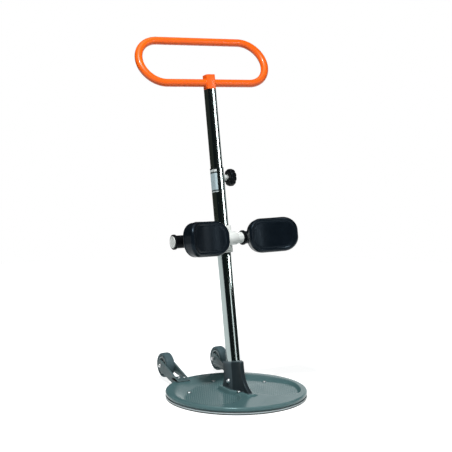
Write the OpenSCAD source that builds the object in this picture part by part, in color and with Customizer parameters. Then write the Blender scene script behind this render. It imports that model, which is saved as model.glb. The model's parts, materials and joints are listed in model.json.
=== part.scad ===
// Patient turner: a round turntable with a leaning telescopic post, a loop handle,
// a shin support with two pads and a pair of rear transport wheels.
// The origin is on the floor under the turntable's axis, +Z is up, the user stands on
// the -Y side and the post leans towards the carer on the +Y side.

/* [Turntable] */
// Diameter of the footplate and of the base disc
plate_d = 450; // [400:1:500]
// Thickness of the rubber floor mat
mat_t = 3; // [2:0.1:4]
// How far the mat stays inside the base disc's edge
mat_inset = 1.5; // [0.5:0.5:20]
// Height of the mat's grip rings
mat_rib_h = 0.8; // [0.5:0.1:1.2]
// Width of the mat's grip rings
mat_rib_w = 14; // [6:1:30]
// Number of the mat's grip rings
mat_ribs = 4; // [2:1:6]
// Thickness of the base disc
disc_t = 3.5; // [3:0.5:6]
// Gap between the base disc and the footplate
turn_gap = 3; // [2.5:0.1:5]
// Thickness of the footplate at its rim
plate_t = 13.5; // [12:0.5:18]
// Width of the footplate's raised rim
rim_w = 18; // [14:1:26]
// Rounding of the rim's upper edge
rim_round = 5; // [2:0.5:6]
// Chamfer of the footplate's lower edge
plate_chamfer = 2; // [0.5:0.5:4]
// Depth of the foot recess below the rim
recess_h = 8; // [5:0.5:8.5]
// How far the recess walls slope outwards
recess_slope = 10; // [4:1:14]
// Sideways place of each foot hollow
hollow_x = 118; // [112:1:122]
// Forward place of each foot hollow
hollow_y = 50; // [40:1:60]
// Radius of each foot hollow at the rim's level
hollow_r = 92; // [80:1:96]
// Height of the raised middle above the rim
boss_h = 4; // [2:0.5:6]
// Margin of the raised middle round the pedestal's foot
boss_margin = 14; // [13:0.5:18]
// Inner radius of the glide ring
glide_in = 132; // [120:1:150]
// How far the glide ring stays inside the footplate's edge
glide_set = 29; // [27:1:50]
// Room under the ends of the screws in the foot recess
screw_end_gap = 1; // [0.5:0.1:2]
// Length of the middle's screws below the rim's level
boss_screw_grip = 6; // [4:0.5:8]

/* [Pivot] */
// Diameter of the spindle
spindle_d = 20; // [16:1:24]
// Diameter of the spindle's threaded end
thread_d = 16; // [12:1:16]
// Diameter of the spindle's foot flange
spindle_foot_d = 44; // [36:1:60]
// Wall of the pivot bush
bush_wall = 2; // [1.5:0.5:3]
// Width of the pivot bush's flange
bush_flange = 5; // [3:0.5:8]
// Height of the pivot bush in the footplate
bush_h = 7.5; // [5:0.5:9]
// Thickness of the spindle's washer
washer_t = 2; // [1:0.5:2.5]
// Height of the spindle's nut
nut_h = 6; // [5:0.5:6.5]
// Space round the spindle's nut
nut_room_d = 38; // [34:1:42]

/* [Pedestal] */
// Height of the pedestal along the post, above the rim
pedestal_h = 88; // [75:1:130]
// Wall of the pedestal round the post
pedestal_wall = 4.5; // [3.5:0.5:8]
// Reach of the pedestal's nose in front of the post's axis
nose_reach = 56; // [40:1:60]
// Extra reach of the nose at the foot
nose_flare = 40; // [20:1:55]
// Width of the nose
nose_w = 13; // [8:1:18]
// Extra half-width at the foot
side_flare = 3; // [0:0.5:6]
// Extra depth at the back of the foot
rear_flare = 10; // [0:0.5:15]
// Extra depth of the wall behind the post
rear_wall = 11; // [0:0.5:14]
// Diameter of the cross bolt
cross_bolt_d = 8; // [6:1:10]
// Height of the cross bolt along the post
cross_bolt_s = 27; // [24:1:50]

/* [Post] */
// Lean of the post from the vertical
lean = 10.1; // [6:0.1:14]
// Place of the post's axis behind the turntable's axis
post_y = 3; // [0:1:8]
// Width of the outer tube
outer_w = 35; // [32:0.5:40]
// Wall of the outer tube
outer_wall = 1.5; // [1.2:0.1:1.8]
// Corner radius of the outer tube
outer_r = 5; // [3:0.5:8]
// Corner radius of the pedestal's back
pedestal_r = 5; // [3:0.5:8]
// Top of the outer tube along the post
outer_top = 704; // [690:1:740]
// Bottom of the outer tube along the post
outer_bottom = 12; // [12:0.5:14]
// Wall of the guide bush in the outer tube
guide_wall = 0.6; // [0.5:0.1:1]
// Height of the guide bush's collar
guide_collar = 3; // [2:0.5:5]
// Length of the guide bush inside the outer tube
guide_h = 14; // [8:1:14]
// Wall of the inner tube
inner_wall = 1.5; // [1.2:0.1:2.5]
// Bottom of the inner tube along the post
inner_bottom = 560; // [540:1:580]
// Length of the plug in the inner tube's lower end
plug_h = 22; // [12:1:40]
// Sliding clearance between the tubes' guides
slide_clear = 0.15; // [0.1:0.05:0.25]
// Place of the small hole in the side of the post, above the shin support
side_hole_up = 83; // [70:1:110]
// Diameter of the small hole in the side of the post
side_hole_d = 6; // [4:0.5:8]

/* [Label plate] */
// Length of the plain label plate
label_l = 73; // [50:1:74]
// Width of the plain label plate on the left-hand face
label_w = 30; // [20:1:30]
// Width of the plain label plate's fold over the front corner
label_fold = 7; // [5:0.5:12]
// Thickness of the plain label plate
label_t = 0.6; // [0.4:0.1:1]

/* [Handle] */
// Diameter of the handle's tube
loop_d = 25; // [20:0.5:26]
// Wall of the handle's tube
loop_wall = 1.5; // [1.2:0.1:2.5]
// Half-length of the handle's straight bars
loop_half = 150; // [100:1:190]
// Bend radius of the handle's round ends
loop_bend = 79; // [60:1:90]
// Lean of the handle's loop from the post
loop_tilt = 21; // [0:0.5:30]
// Place of the handle's lower bar along the post
bar_s = 982.5; // [960:0.5:1020]
// Length of the socket below the lower bar
socket_down = 20.5; // [18:0.5:30]
// Length of the socket above the lower bar
socket_up = 26.5; // [18:0.5:35]
// Length of the socket's spigot in the inner tube
spigot_h = 40; // [20:1:80]
// Diameter of the screw that holds the socket
socket_screw_d = 6; // [4:1:6]

/* [Post clamp] */
// How far the clamp's middle is below the outer tube's mouth
clamp_down = 29; // [28:1:39]
// Diameter of the hand knob
knob_d = 56; // [46:1:58]
// Thickness of the hand knob
knob_t = 20; // [11:0.5:23]
// Number of flutes on the knobs
flutes = 10; // [6:1:14]
// Depth of the flutes
flute_h = 2.2; // [1:0.1:3]
// Diameter of the clamp screw
stud_d = 10; // [8:1:12]
// Diameter of the clamp's boss
clamp_boss_d = 20; // [17:0.5:22]
// Length of the clamp's boss
clamp_boss_l = 10; // [8:0.5:14]
// Length of the knob's neck
neck_l = 9; // [8:0.5:18]
// Large diameter of the knob's neck, at the post
neck_d = 21; // [18:0.5:24]
// Length of the pressure pad on the screw's end
press_l = 4.5; // [3.5:0.5:6]

/* [Shin support] */
// Place of the cross rod along the post
rod_s = 477; // [440:1:500]
// Reach of the cross rod in front of the post's axis
rod_reach = 45; // [43:0.5:60]
// Diameter of the cross rod under the sleeves
rod_d = 32; // [26:1:34]
// Wall of the cross rod
rod_wall = 4; // [2.5:0.5:6]
// Height of the ribs on the bare part of the rod
rib_h = 1.5; // [0.5:0.1:2]
// Width of one rib on the rod
rib_w = 2.4; // [1.5:0.1:2.6]
// Number of ribs on each bare part of the rod
ribs = 5; // [3:1:6]
// Wall of the carriage round the post
carriage_wall = 5; // [4:0.5:7]
// Height of the carriage
carriage_h = 86; // [70:1:110]
// Wall of the carriage round the rod
rod_boss_wall = 5; // [4:0.5:8]
// Diameter of the carriage's cover screws
cover_screw_d = 3; // [2:0.5:3]
// How far the cover screws go into the carriage
cover_screw_depth = 14; // [10:0.5:18]
// Distance of the cover screws from the carriage's ends
cover_screw_in = 12; // [8:0.5:20]
// Diameter of the carriage's hand knob
small_knob_d = 36; // [28:1:44]
// Thickness of the carriage's hand knob
small_knob_t = 12; // [9:0.5:16]
// Diameter of the carriage's clamp screw
small_stud_d = 8; // [6:1:10]
// Length of the carriage's clamp boss
small_boss_l = 7; // [5:0.5:12]
// Length of the small knob's neck
small_neck_l = 6; // [4:0.5:12]

/* [Pads] */
// Inner end of each pad sleeve from the middle
sleeve_in = 44; // [40:1:55]
// Length of each pad sleeve
sleeve_l = 157; // [130:1:160]
// Wall of the pad sleeves
sleeve_wall = 4; // [3:0.5:6]
// Height of the flanges on the sleeves' ends
flange_h = 3.5; // [2:0.5:6]
// Width of the flanges on the sleeves' ends
flange_w = 7; // [4:0.5:10]
// Diameter of the rod's end caps
cap_d = 37; // [34:0.5:40]
// Thickness of the rod's end caps
cap_t = 2; // [1.5:0.5:6]
// Rounding of the end caps' outer edge
cap_round = 0.75; // [0.25:0.25:1.25]
// Length of the end caps' spigots in the rod
cap_spigot = 16; // [8:1:30]
// Width of a pad
pad_w = 160; // [145:1:166]
// Height of a pad
pad_h = 109; // [100:1:120]
// Radius of the corners of a pad's outline
pad_corner = 44; // [30:1:48]
// Thickness of a pad at its ends
pad_t = 50; // [44:1:60]
// Depth of the hollow across a pad's front
pad_hollow = 20; // [8:1:24]
// Rounding of a pad's front edge
pad_round = 13; // [10:1:20]
// How far a pad's sides are drawn in behind the front edge
pad_draw = 2; // [1:0.5:4]
// Sideways place of a pad's middle
pad_x = 124; // [120:1:130]
// Distance from the rod's axis to a pad's back
pad_back = 45; // [44.5:0.5:55]
// Turn of each pad towards the middle
pad_toe = 15; // [0:0.5:15]
// Thickness of the pads' carriers
carrier_t = 6; // [4:0.5:8]
// How far the carriers stay inside the pads' outline
carrier_inset = 9; // [6:1:20]
// Width of the carriers' neck
carrier_neck_w = 62; // [40:1:80]
// Height of the carriers' neck
carrier_neck_h = 30; // [20:1:34]
// Diameter of the pads' screws
pad_screw_d = 5; // [4:0.5:6]
// Distance of the pads' screws from a pad's middle
pad_screw_x = 46; // [42:1:52]
// How far the pads' screws go into a pad
pad_screw_in = 9; // [6:0.5:12]
// Height of the drawn-in band behind a pad's lip
pad_band = 9; // [6:0.5:12]

/* [Wheels] */
// Diameter of a wheel
wheel_d = 82; // [72:1:92]
// Width of a wheel
wheel_w = 30; // [24:1:34]
// Diameter of a wheel's hub
hub_d = 58; // [50:1:62]
// Sideways place of each wheel
wheel_x = 102.5; // [90:0.5:115]
// Distance of the axles behind the footplate's edge
wheel_out = 71; // [55:1:78]
// Height of the axles
wheel_z = 52; // [50:1:62]
// Diameter of the axles
axle_d = 8; // [6:1:10]
// Thickness of a fork's arm
arm_t = 6; // [4:0.5:8]
// Radius of the fork's eye
eye_r = 18; // [12:0.5:20]
// Radius of the fork's root
root_r = 10; // [8:0.5:12]
// Distance of the fork's root inside the footplate's edge, along the turner
root_in = 20; // [14:1:26]
// How far the fork's root lies below the top of the rim
root_down = 2; // [0:0.5:4]
// Length of the fork's foot
fork_foot_l = 42; // [34:1:48]
// Height of the fork's foot
fork_foot_h = 9; // [6:0.5:10]
// Diameter of the fork's screws
fork_screw_d = 5; // [4:0.5:6]

/* [Fits] */
// Radial clearance of turning fits
run_clear = 0.05; // [0.03:0.01:0.08]
// Clearance between parts that move past each other
gap = 0.3; // [0.25:0.05:0.5]
// Clearance round fixed inserts and screws
seat_clear = 0.05; // [0.02:0.01:0.1]

/* [Hidden] */
$fn = 64;
small = 0.01;
plate_r = plate_d / 2;
disc_z = mat_t;
disc_top = disc_z + disc_t;
plate_z = disc_top + turn_gap;
deck_z = plate_z + plate_t;
floor_z = deck_z - recess_h;
boss_z = deck_z + boss_h;
rim_in = plate_r - rim_w;
glide_out = plate_r - glide_set;
bush_top = plate_z + bush_h;
washer_z = bush_top + gap;
nut_z = washer_z + washer_t;
thread_proud = 0.5;
washer_room = 2;
spindle_top = nut_z + nut_h + thread_proud;
hex_share = 1.7;
bush_r = spindle_d / 2 + run_clear + bush_wall;
bush_flange_r = bush_r + bush_flange;
bush_flange_t = turn_gap / 2;
pedestal_a = outer_w / 2 + pedestal_wall;
pedestal_rear = pedestal_a + rear_wall;
spot_depth = 0.5;
spot_share = 2.3;
shoulder_out = 2.5;
shoulder = outer_w / 2 + shoulder_out;
outer_cavity = outer_w - 2 * outer_wall;
guide_w = outer_cavity - 2 * guide_wall;
inner_w = guide_w - 2 * slide_clear;
inner_r = max(1, outer_r - outer_wall - guide_wall);
inner_cavity = inner_w - 2 * inner_wall;
cavity_r = max(0.5, inner_r - inner_wall);
socket_bottom = bar_s - socket_down;
socket_top = bar_s + socket_up;
guide_top = outer_top + guide_collar;
clamp_s = outer_top - clamp_down;
label_down = 2;
label_s = outer_top - label_down - label_l / 2;
rod_r = rod_d / 2;
sleeve_r = rod_r + run_clear + sleeve_wall;
flange_r = sleeve_r + flange_h;
sleeve_out = sleeve_in + sleeve_l;
rod_half = sleeve_out + gap;
carriage_in = outer_w / 2 + gap;
carriage_out = carriage_in + carriage_wall;
rod_boss_r = rod_r + rod_boss_wall;
cover_y = carriage_in;
bare_from = carriage_out;
bare_to = sleeve_in - gap;
rib_step = (bare_to - bare_from) / ribs;
wheel_y = plate_r + wheel_out;
root_y = plate_r - root_in;
wheel_side_gap = 1.2;
arm_in = wheel_w / 2 + wheel_side_gap;
arm_out = arm_in + arm_t;
root_z = deck_z - root_down;
foot_y = root_y - fork_foot_l;
hub_rim = 4;
hub_step = 1;
hub_boss_wall = 5;
hub_holes = 6;
hub_hole_share = 0.3;
web_share = 0.36;
tyre_share = 0.26;
seat_margin = 2;
fork_screw_share = [0.6, 0.4];
fork_screw_left = 2;
plate_screw_d = 6;
head_share = [0.25, 0.75, 0.5, 0.55];
key_share = [0.2, 0.8];
screw_head_h = 3;
pedestal_screw_d = 6;
pedestal_screw_up = 12;
foot_reach = nose_reach + nose_flare;
rear_screw_in = 5.5;
rear_screw_back = 8;
rear_screw_x = outer_w / 2 - rear_screw_in;
rear_screw_y = post_y + outer_w / 2 + rear_screw_back;
nose_screw_at = [0.47, 0.66];
pedestal_screw_xy = concat([[-rear_screw_x, rear_screw_y], [rear_screw_x, rear_screw_y]],
    [for (k = nose_screw_at) [0, post_y - k * foot_reach]]);
recess_screw_in = 14;
recess_screw_a = [22, 90, 158];
recess_screw_r = (glide_in + glide_out) / 2 - recess_screw_in;
recess_screw_xy = [for (a = recess_screw_a) recess_screw_r * [cos(a), sin(a)]];
boss_screw_at = 0.55;
boss_screw_y = boss_screw_at * foot_reach;
boss_screw_x = flank(boss_screw_y, foot_reach, pedestal_a + side_flare, shoulder, nose_w) + boss_margin / 2;
boss_screw_xy = [[-boss_screw_x, post_y - boss_screw_y], [boss_screw_x, post_y - boss_screw_y]];
press_from = inner_w / 2;
stud_from = press_from + gap + press_l;
neck_from = outer_w / 2 + clamp_boss_l + 2 * gap;
knob_from = neck_from + neck_l;
knob_edge_share = 0.28;
flute_share = 0.1;
dish_share = [0.3, 0.24];
dish_h = 1;
stud_share = 0.7;
neck_wall = 2.5;
small_neck_d = 2 * small_stud_d;
small_neck_flare = 3.2;
small_boss_d = small_neck_d + 1.6;
small_press_from = outer_w / 2;
small_press_room = 1;
small_press_l = carriage_wall - small_press_room;
small_stud_from = small_press_from + gap + small_press_l;
small_neck_from = carriage_out + small_boss_l + 2 * gap;
small_knob_from = small_neck_from + small_neck_l;
pad_foot = 1;
pad_edge = 4;
pedestal_steps = [0, 0.06, 0.14, 0.25, 0.4, 0.65, 1];

// Places children on the post's axis: local Z runs up the post, local -Y faces the user.
module on_post(s) {
    translate([0, post_y, deck_z]) rotate([-lean, 0, 0]) translate([0, 0, s]) children();
}

// Places children on the cross rod's axis, with local Z up the post.
module on_rod() {
    on_post(rod_s) translate([0, -rod_reach, 0]) children();
}

// Turns local Z to the post's right-hand side.
module to_right() {
    rotate([0, 90, 0]) children();
}

// Turns local Z to the post's rear side.
module to_rear() {
    rotate([-90, 0, 0]) children();
}

// Square with round corners, centred.
module round_square(w, r) {
    square([w, w - 2 * r], center = true);
    square([w - 2 * r, w], center = true);
    for (sx = [-1, 1], sy = [-1, 1]) translate([sx * (w / 2 - r), sy * (w / 2 - r)]) circle(r = r);
}

// Ring-shaped wall between two radii.
module pipe(r_in, r_out, h) {
    difference() {
        cylinder(r = r_out, h = h);
        translate([0, 0, -1]) cylinder(r = r_in, h = h + 2);
    }
}

// Points of a quarter arc from angle a0 to a1 about [cx, cy].
function arc(cx, cy, r, a0, a1, n = 6) =
    [for (i = [0 : n]) let (a = a0 + (a1 - a0) * i / n) [cx + r * cos(a), cy + r * sin(a)]];

// Boat-shaped outline round the post: a square back and a narrow nose with hollow flanks.
function flank(y, n, a, f, w) = w / 2 + (a - w / 2) * pow((n - y) / (n - f), 2.2);
function boat_side(n, a, b, f, w, grow) = concat(
    [for (i = [0 : 5]) let (y = n - (n - f) * i / 5) [flank(y, n, a, f, w) + grow, -y - grow]],
    arc(a - pedestal_r, b - pedestal_r, pedestal_r + grow, 0, 90, 4));
function mirrored(side) = [for (i = [len(side) - 1 : -1 : 0]) [-side[i][0], side[i][1]]];
function boat(n, a, b, f, w, grow = 0) =
    let (side = boat_side(n, a, b, f, w, grow)) concat(side, mirrored(side));

// Outline of a pad drawn in by an inset: a rectangle with round corners, and points in the middle of
// its long sides.
function pad_corner_arc(sx, sy, inset, a) = let (r = pad_corner - inset)
    arc(sx * (pad_w / 2 - pad_corner), sy * (pad_h / 2 - pad_corner), r, a, a + 90, 6);
function pad_outline(inset) = let (y = pad_h / 2 - inset) concat(
    pad_corner_arc(1, -1, inset, -90), pad_corner_arc(1, 1, inset, 0), [[0, y]],
    pad_corner_arc(-1, 1, inset, 90), pad_corner_arc(-1, -1, inset, 180), [[0, -y]]);

// Triangles between two neighbouring rings of n points, and fans that close the ends.
function band(i, n) = [for (k = [0 : n - 1]) let (m = (k + 1) % n, p = i * n, q = p + n)
    each [[p + k, q + k, q + m], [p + k, q + m, p + m]]];
function fan(hub, first, n) = [for (k = [0 : n - 1]) [hub, first + k, first + (k + 1) % n]];
function fan_back(hub, first, n) = [for (k = [0 : n - 1]) [hub, first + (k + 1) % n, first + k]];

// Rubber mat with raised grip rings on its underside
module floor_mat() {
    color("#2b2e30") {
        translate([0, 0, mat_rib_h]) cylinder(r = plate_r - mat_inset, h = mat_t - mat_rib_h, $fn = 128);
        cylinder(r = spindle_foot_d / 2, h = mat_rib_h + small);
        for (k = [1 : mat_ribs]) {
            ring_r = (plate_r - mat_inset) * k / mat_ribs;
            pipe(ring_r - mat_rib_w, ring_r, mat_rib_h + small, $fn = 128);
        }
    }
}

// Steel disc that stays still on the floor
module base_disc() {
    color("#8d9696") translate([0, 0, disc_z]) difference() {
        cylinder(r = plate_r, h = disc_t, $fn = 128);
        translate([0, 0, -1]) cylinder(d = spindle_foot_d + 2 * seat_clear, h = disc_t + 2);
    }
}

// Pivot shaft with its foot flange and threaded end
module spindle() {
    color("#a9adb0") {
        translate([0, 0, disc_z]) cylinder(d = spindle_foot_d, h = disc_t);
        translate([0, 0, disc_z]) cylinder(d = spindle_d, h = washer_z - disc_z);
        translate([0, 0, disc_z]) cylinder(d = thread_d, h = spindle_top - disc_z);
    }
}

module spindle_washer() {
    color("#b9bcbf") translate([0, 0, washer_z])
        pipe(thread_d / 2 + seat_clear, nut_room_d / 2 - washer_room, washer_t);
}

module spindle_nut() {
    color("#b9bcbf") translate([0, 0, nut_z]) difference() {
        cylinder(d = thread_d * hex_share, h = nut_h, $fn = 6);
        translate([0, 0, -1]) cylinder(d = thread_d + 2 * seat_clear, h = nut_h + 2);
    }
}

// Profile of the footplate's blank: flat below, rounded at the rim.
module plate_profile() {
    polygon(concat(
        [[0, plate_z], [plate_r - plate_chamfer, plate_z], [plate_r, plate_z + plate_chamfer]],
        arc(plate_r - rim_round, deck_z - rim_round, rim_round, 0, 90),
        [[0, deck_z]]));
}

// Foot recess: the plate's back and two round hollows in front, with sloping walls.
module recess() {
    rise = recess_h + 1;
    run = recess_slope * rise / recess_h;
    foot_r = rim_in - recess_slope;
    hollow_foot_r = hollow_r - recess_slope;
    intersection() {
        translate([0, 0, floor_z]) cylinder(r1 = foot_r, r2 = foot_r + run, h = rise, $fn = 128);
        union() {
            translate([-plate_r, -hollow_y, floor_z]) cube([plate_d, plate_d, rise]);
            for (sx = [-1, 1]) translate([sx * hollow_x, -hollow_y, floor_z])
                cylinder(r1 = hollow_foot_r, r2 = hollow_foot_r + run, h = rise, $fn = 96);
        }
    }
}

module boss_outline(grow) {
    translate([0, post_y]) polygon(boat(nose_reach + nose_flare, pedestal_a + side_flare,
        pedestal_rear + rear_flare, shoulder, nose_w, grow));
}

// Level lands in the recess under the wheel forks' feet
module fork_seats() {
    seat_w = 2 * (arm_out + seat_margin);
    intersection() {
        translate([0, 0, plate_z]) cylinder(r = rim_in, h = plate_t, $fn = 128);
        for (sx = [-1, 1]) translate([sx * wheel_x - seat_w / 2, foot_y - seat_margin, plate_z])
            cube([seat_w, plate_r, plate_t]);
    }
}

// Turning plate with a raised rim, foot recesses and a raised middle for the pedestal
module footplate() {
    color("#6f8284") difference() {
        union() {
            difference() {
                rotate_extrude($fn = 128) plate_profile();
                recess();
            }
            translate([0, 0, plate_z]) linear_extrude(boss_z - plate_z) boss_outline(boss_margin);
            fork_seats();
        }
        translate([0, 0, plate_z - 1]) cylinder(r = bush_r + seat_clear, h = plate_t);
        translate([0, 0, bush_top]) cylinder(d = nut_room_d, h = plate_t + boss_h);
        for (p = pedestal_screw_xy) translate([p[0], p[1], plate_z - 1]) {
            cylinder(d = pedestal_screw_d + 2 * seat_clear, h = plate_t + boss_h + 2);
            cylinder(d = pedestal_screw_d * 2, h = 1 + screw_head_h + 1);
        }
        for (p = recess_screw_xy) translate([p[0], p[1], plate_z - 1])
            cylinder(d = plate_screw_d + 2 * seat_clear, h = plate_t + 2);
        for (p = boss_screw_xy) translate([p[0], p[1], plate_z + 2])
            cylinder(d = plate_screw_d + 2 * seat_clear, h = plate_t + boss_h);
        for (sx = [-1, 1], dx = [-1, 1])
            translate([fork_screw_x(sx, dx), fork_screw_y(), plate_z + fork_screw_left])
                cylinder(d = fork_screw_d + 2 * seat_clear, h = plate_t + 2);
    }
}

// Low-friction ring under the footplate that slides on the base disc
module glide_ring() {
    color("#d8d9d4") difference() {
        translate([0, 0, disc_top + gap]) pipe(glide_in, glide_out, turn_gap - gap, $fn = 128);
        for (p = recess_screw_xy) translate([p[0], p[1], disc_top])
            cylinder(d = plate_screw_d + 2 * seat_clear, h = plate_t);
    }
}

// Flanged bush between the footplate and the spindle
module pivot_bush() {
    color("#b08d57") difference() {
        union() {
            translate([0, 0, plate_z - bush_flange_t]) cylinder(r = bush_r, h = bush_h + bush_flange_t);
            translate([0, 0, plate_z - bush_flange_t]) cylinder(r = bush_flange_r, h = bush_flange_t);
        }
        translate([0, 0, disc_top]) cylinder(d = spindle_d + 2 * run_clear, h = plate_t + turn_gap);
    }
}

// Pan-head screw with its head's seat at z = 0 and its shank going down
module pan_screw(d, l) {
    crown = [[d, d * head_share[0]], [d * head_share[1], d * head_share[2]], [0, d * head_share[3]]];
    difference() {
        rotate_extrude() polygon(concat([[0, -l], [d / 2, -l], [d / 2, 0], [d, 0]], crown));
        translate([0, 0, d * key_share[0]]) cylinder(d = d * key_share[1], h = d, $fn = 6);
    }
}

module plate_screws() {
    color("#c9cdcf") {
        for (p = recess_screw_xy) translate([p[0], p[1], floor_z])
            pan_screw(plate_screw_d, floor_z - disc_top - screw_end_gap);
        for (p = boss_screw_xy) translate([p[0], p[1], boss_z])
            pan_screw(plate_screw_d, boss_h + boss_screw_grip);
    }
}

// Rings of the pedestal from the foot at the raised middle to the top across the post
function foot_s(y) = (boss_h + y * sin(lean)) / cos(lean);
function pedestal_ring(t) = let (q = 1 - t)
    [for (p = boat(nose_reach + nose_flare * pow(q, 4), pedestal_a + side_flare * pow(q, 3),
        pedestal_rear + rear_flare * pow(q, 3), shoulder, nose_w))
        [p[0], p[1], foot_s(p[1]) * q + pedestal_h * t]];

// Moulded socket that holds the post's foot
module pedestal() {
    rings = [for (t = pedestal_steps) pedestal_ring(t)];
    n = len(rings[0]);
    last = len(rings) - 1;
    bottom = [for (k = [0 : n - 1]) k];
    top = [for (k = [n - 1 : -1 : 0]) last * n + k];
    sides = [for (i = [0 : last - 1]) each band(i, n)];
    color("#4a5357") difference() {
        on_post(0) polyhedron(points = [for (r = rings) each r], faces = concat([bottom], sides, [top]));
        on_post(outer_bottom) linear_extrude(pedestal_h)
            round_square(outer_w + 2 * seat_clear, outer_r + seat_clear);
        on_post(cross_bolt_s) to_right()
            cylinder(d = cross_bolt_d + 2 * seat_clear, h = 4 * outer_w, center = true);
        on_post(cross_bolt_s) for (sx = [-1, 1]) rotate([0, sx * 90, 0]) translate([0, 0, cross_seat()])
            cylinder(d = cross_bolt_d * spot_share, h = outer_w);
        for (p = pedestal_screw_xy) translate([p[0], p[1], boss_z - 1])
            cylinder(d = pedestal_screw_d + 2 * seat_clear, h = pedestal_screw_up + 1.5);
    }
}

// Screws from below that hold the pedestal on the footplate
module pedestal_screws() {
    color("#c9cdcf") for (p = pedestal_screw_xy) translate([p[0], p[1], plate_z + screw_head_h + 1]) {
        cylinder(d = pedestal_screw_d, h = boss_z + pedestal_screw_up - plate_z - screw_head_h - 1);
        translate([0, 0, -screw_head_h]) cylinder(d = pedestal_screw_d * 1.7, h = screw_head_h);
    }
}

// Half-width of the pedestal at the cross bolt, and the seats cut into it for the bolt's head and nut
function cross_half() = let (t = (cross_bolt_s - foot_s(0)) / (pedestal_h - foot_s(0)))
    pedestal_a + side_flare * pow(1 - t, 3);
function cross_seat() = cross_half() - spot_depth;

// Bolt across the pedestal and the post's foot
module cross_bolt() {
    color("#c9cdcf") on_post(cross_bolt_s) rotate([0, -90, 0]) {
        translate([0, 0, cross_seat()]) rotate_extrude() polygon(concat([[0, 0], [cross_bolt_d, 0]],
            arc(0, 0, cross_bolt_d, 0, 90, 5)));
        translate([0, 0, -cross_half() - cross_bolt_d])
            cylinder(d = cross_bolt_d, h = 2 * cross_half() + cross_bolt_d);
    }
}

module cross_bolt_nut() {
    color("#c9cdcf") on_post(cross_bolt_s) to_right() translate([0, 0, cross_seat()]) difference() {
        cylinder(d = cross_bolt_d * hex_share, h = cross_bolt_d * 0.8, $fn = 6);
        translate([0, 0, -1]) cylinder(d = cross_bolt_d + 2 * seat_clear, h = cross_bolt_d + 2);
    }
}

// Square chromed tube that stands in the pedestal
module outer_tube() {
    color("#c3c7c8") difference() {
        on_post(outer_bottom) linear_extrude(outer_top - outer_bottom) difference() {
            round_square(outer_w, outer_r);
            round_square(outer_cavity, outer_r - outer_wall);
        }
        on_post(cross_bolt_s) to_right()
            cylinder(d = cross_bolt_d + 2 * seat_clear, h = 2 * outer_w, center = true);
        on_post(clamp_s) to_right() cylinder(d = stud_d + 2 * gap, h = outer_w);
        on_post(rod_s + side_hole_up) rotate([0, -90, 0]) cylinder(d = side_hole_d, h = outer_w);
    }
}

// Plastic liner and collar in the outer tube's mouth
module guide_bush() {
    color("#26292b") on_post(0) {
        translate([0, 0, outer_top - guide_h]) linear_extrude(guide_h) difference() {
            round_square(outer_cavity - 2 * seat_clear, outer_r - outer_wall - seat_clear);
            round_square(guide_w, inner_r);
        }
        translate([0, 0, outer_top]) linear_extrude(guide_collar) difference() {
            round_square(outer_w, outer_r);
            round_square(guide_w, inner_r);
        }
    }
}

// Threaded boss of the post clamp, on the tube's right-hand face
module clamp_boss() {
    color("#d6d8d6") on_post(clamp_s) to_right() translate([0, 0, outer_w / 2]) difference() {
        cylinder(d1 = clamp_boss_d, d2 = clamp_boss_d - 2, h = clamp_boss_l);
        translate([0, 0, -1]) cylinder(d = stud_d + 2 * run_clear, h = clamp_boss_l + 2);
    }
}

// Plain foil plate on the tube's left-hand face, folded over the front corner
module label_plate() {
    color("#c4d0d6") on_post(label_s - label_l / 2) intersection() {
        linear_extrude(label_l) difference() {
            round_square(outer_w + 2 * label_t, outer_r + label_t);
            round_square(outer_w, outer_r);
        }
        translate([-outer_w, -outer_w, -1])
            cube([outer_w / 2 + label_fold, outer_w / 2 + label_w, label_l + 2]);
    }
}

function tangent_angle(p, q, rp, rq) = acos((rp - rq) / norm(q - p));
function tangent_point(p, q, r, rp, rq, c, side) =
    let (d = q - p, a = atan2(d[1], d[0]) + side * tangent_angle(p, q, rp, rq)) c + r * [cos(a), sin(a)];

// Side view of a fork's arm: two round ends with straight flanks, and a web that runs down onto the rim.
module arm_profile() {
    root = [root_y, root_z];
    eye = [wheel_y, wheel_z];
    translate(root) circle(r = root_r);
    translate(eye) circle(r = eye_r);
    polygon([
        tangent_point(root, eye, root_r, root_r, eye_r, root, 1),
        tangent_point(root, eye, eye_r, root_r, eye_r, eye, 1),
        tangent_point(root, eye, eye_r, root_r, eye_r, eye, -1),
        tangent_point(root, eye, root_r, root_r, eye_r, root, -1)]);
    polygon([[foot_y, deck_z], [foot_y, deck_z + fork_foot_h / 2],
        tangent_point(root, eye, eye_r, root_r, eye_r, eye, 1), eye, [root_y, deck_z]]);
}

function fork_screw_x(sx, dx) = sx * wheel_x + dx * arm_in * fork_screw_share[0];
function fork_screw_y() = foot_y + fork_foot_l * fork_screw_share[1];

// Two-armed wheel fork that stands on the plate's rear rim and reaches down outside its edge
module fork(sx) {
    color("#66777a") difference() {
        union() {
            for (dx = [-1, 1]) translate([sx * wheel_x + dx * (arm_in + arm_t / 2) - arm_t / 2, 0, 0])
                rotate([90, 0, 90]) linear_extrude(arm_t) arm_profile();
            translate([sx * wheel_x - arm_in - small, foot_y, deck_z])
                cube([2 * arm_in + 2 * small, fork_foot_l, fork_foot_h]);
        }
        cylinder(r = plate_r + gap, h = deck_z, $fn = 128);
        translate([sx * wheel_x, wheel_y, wheel_z]) to_right()
            cylinder(d = axle_d + 2 * seat_clear, h = 3 * arm_out, center = true);
        for (dx = [-1, 1]) translate([fork_screw_x(sx, dx), fork_screw_y(), deck_z - 1])
            cylinder(d = fork_screw_d + 2 * seat_clear, h = fork_foot_h + 2);
    }
}

module left_fork() {
    fork(-1);
}

module right_fork() {
    fork(1);
}

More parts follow.
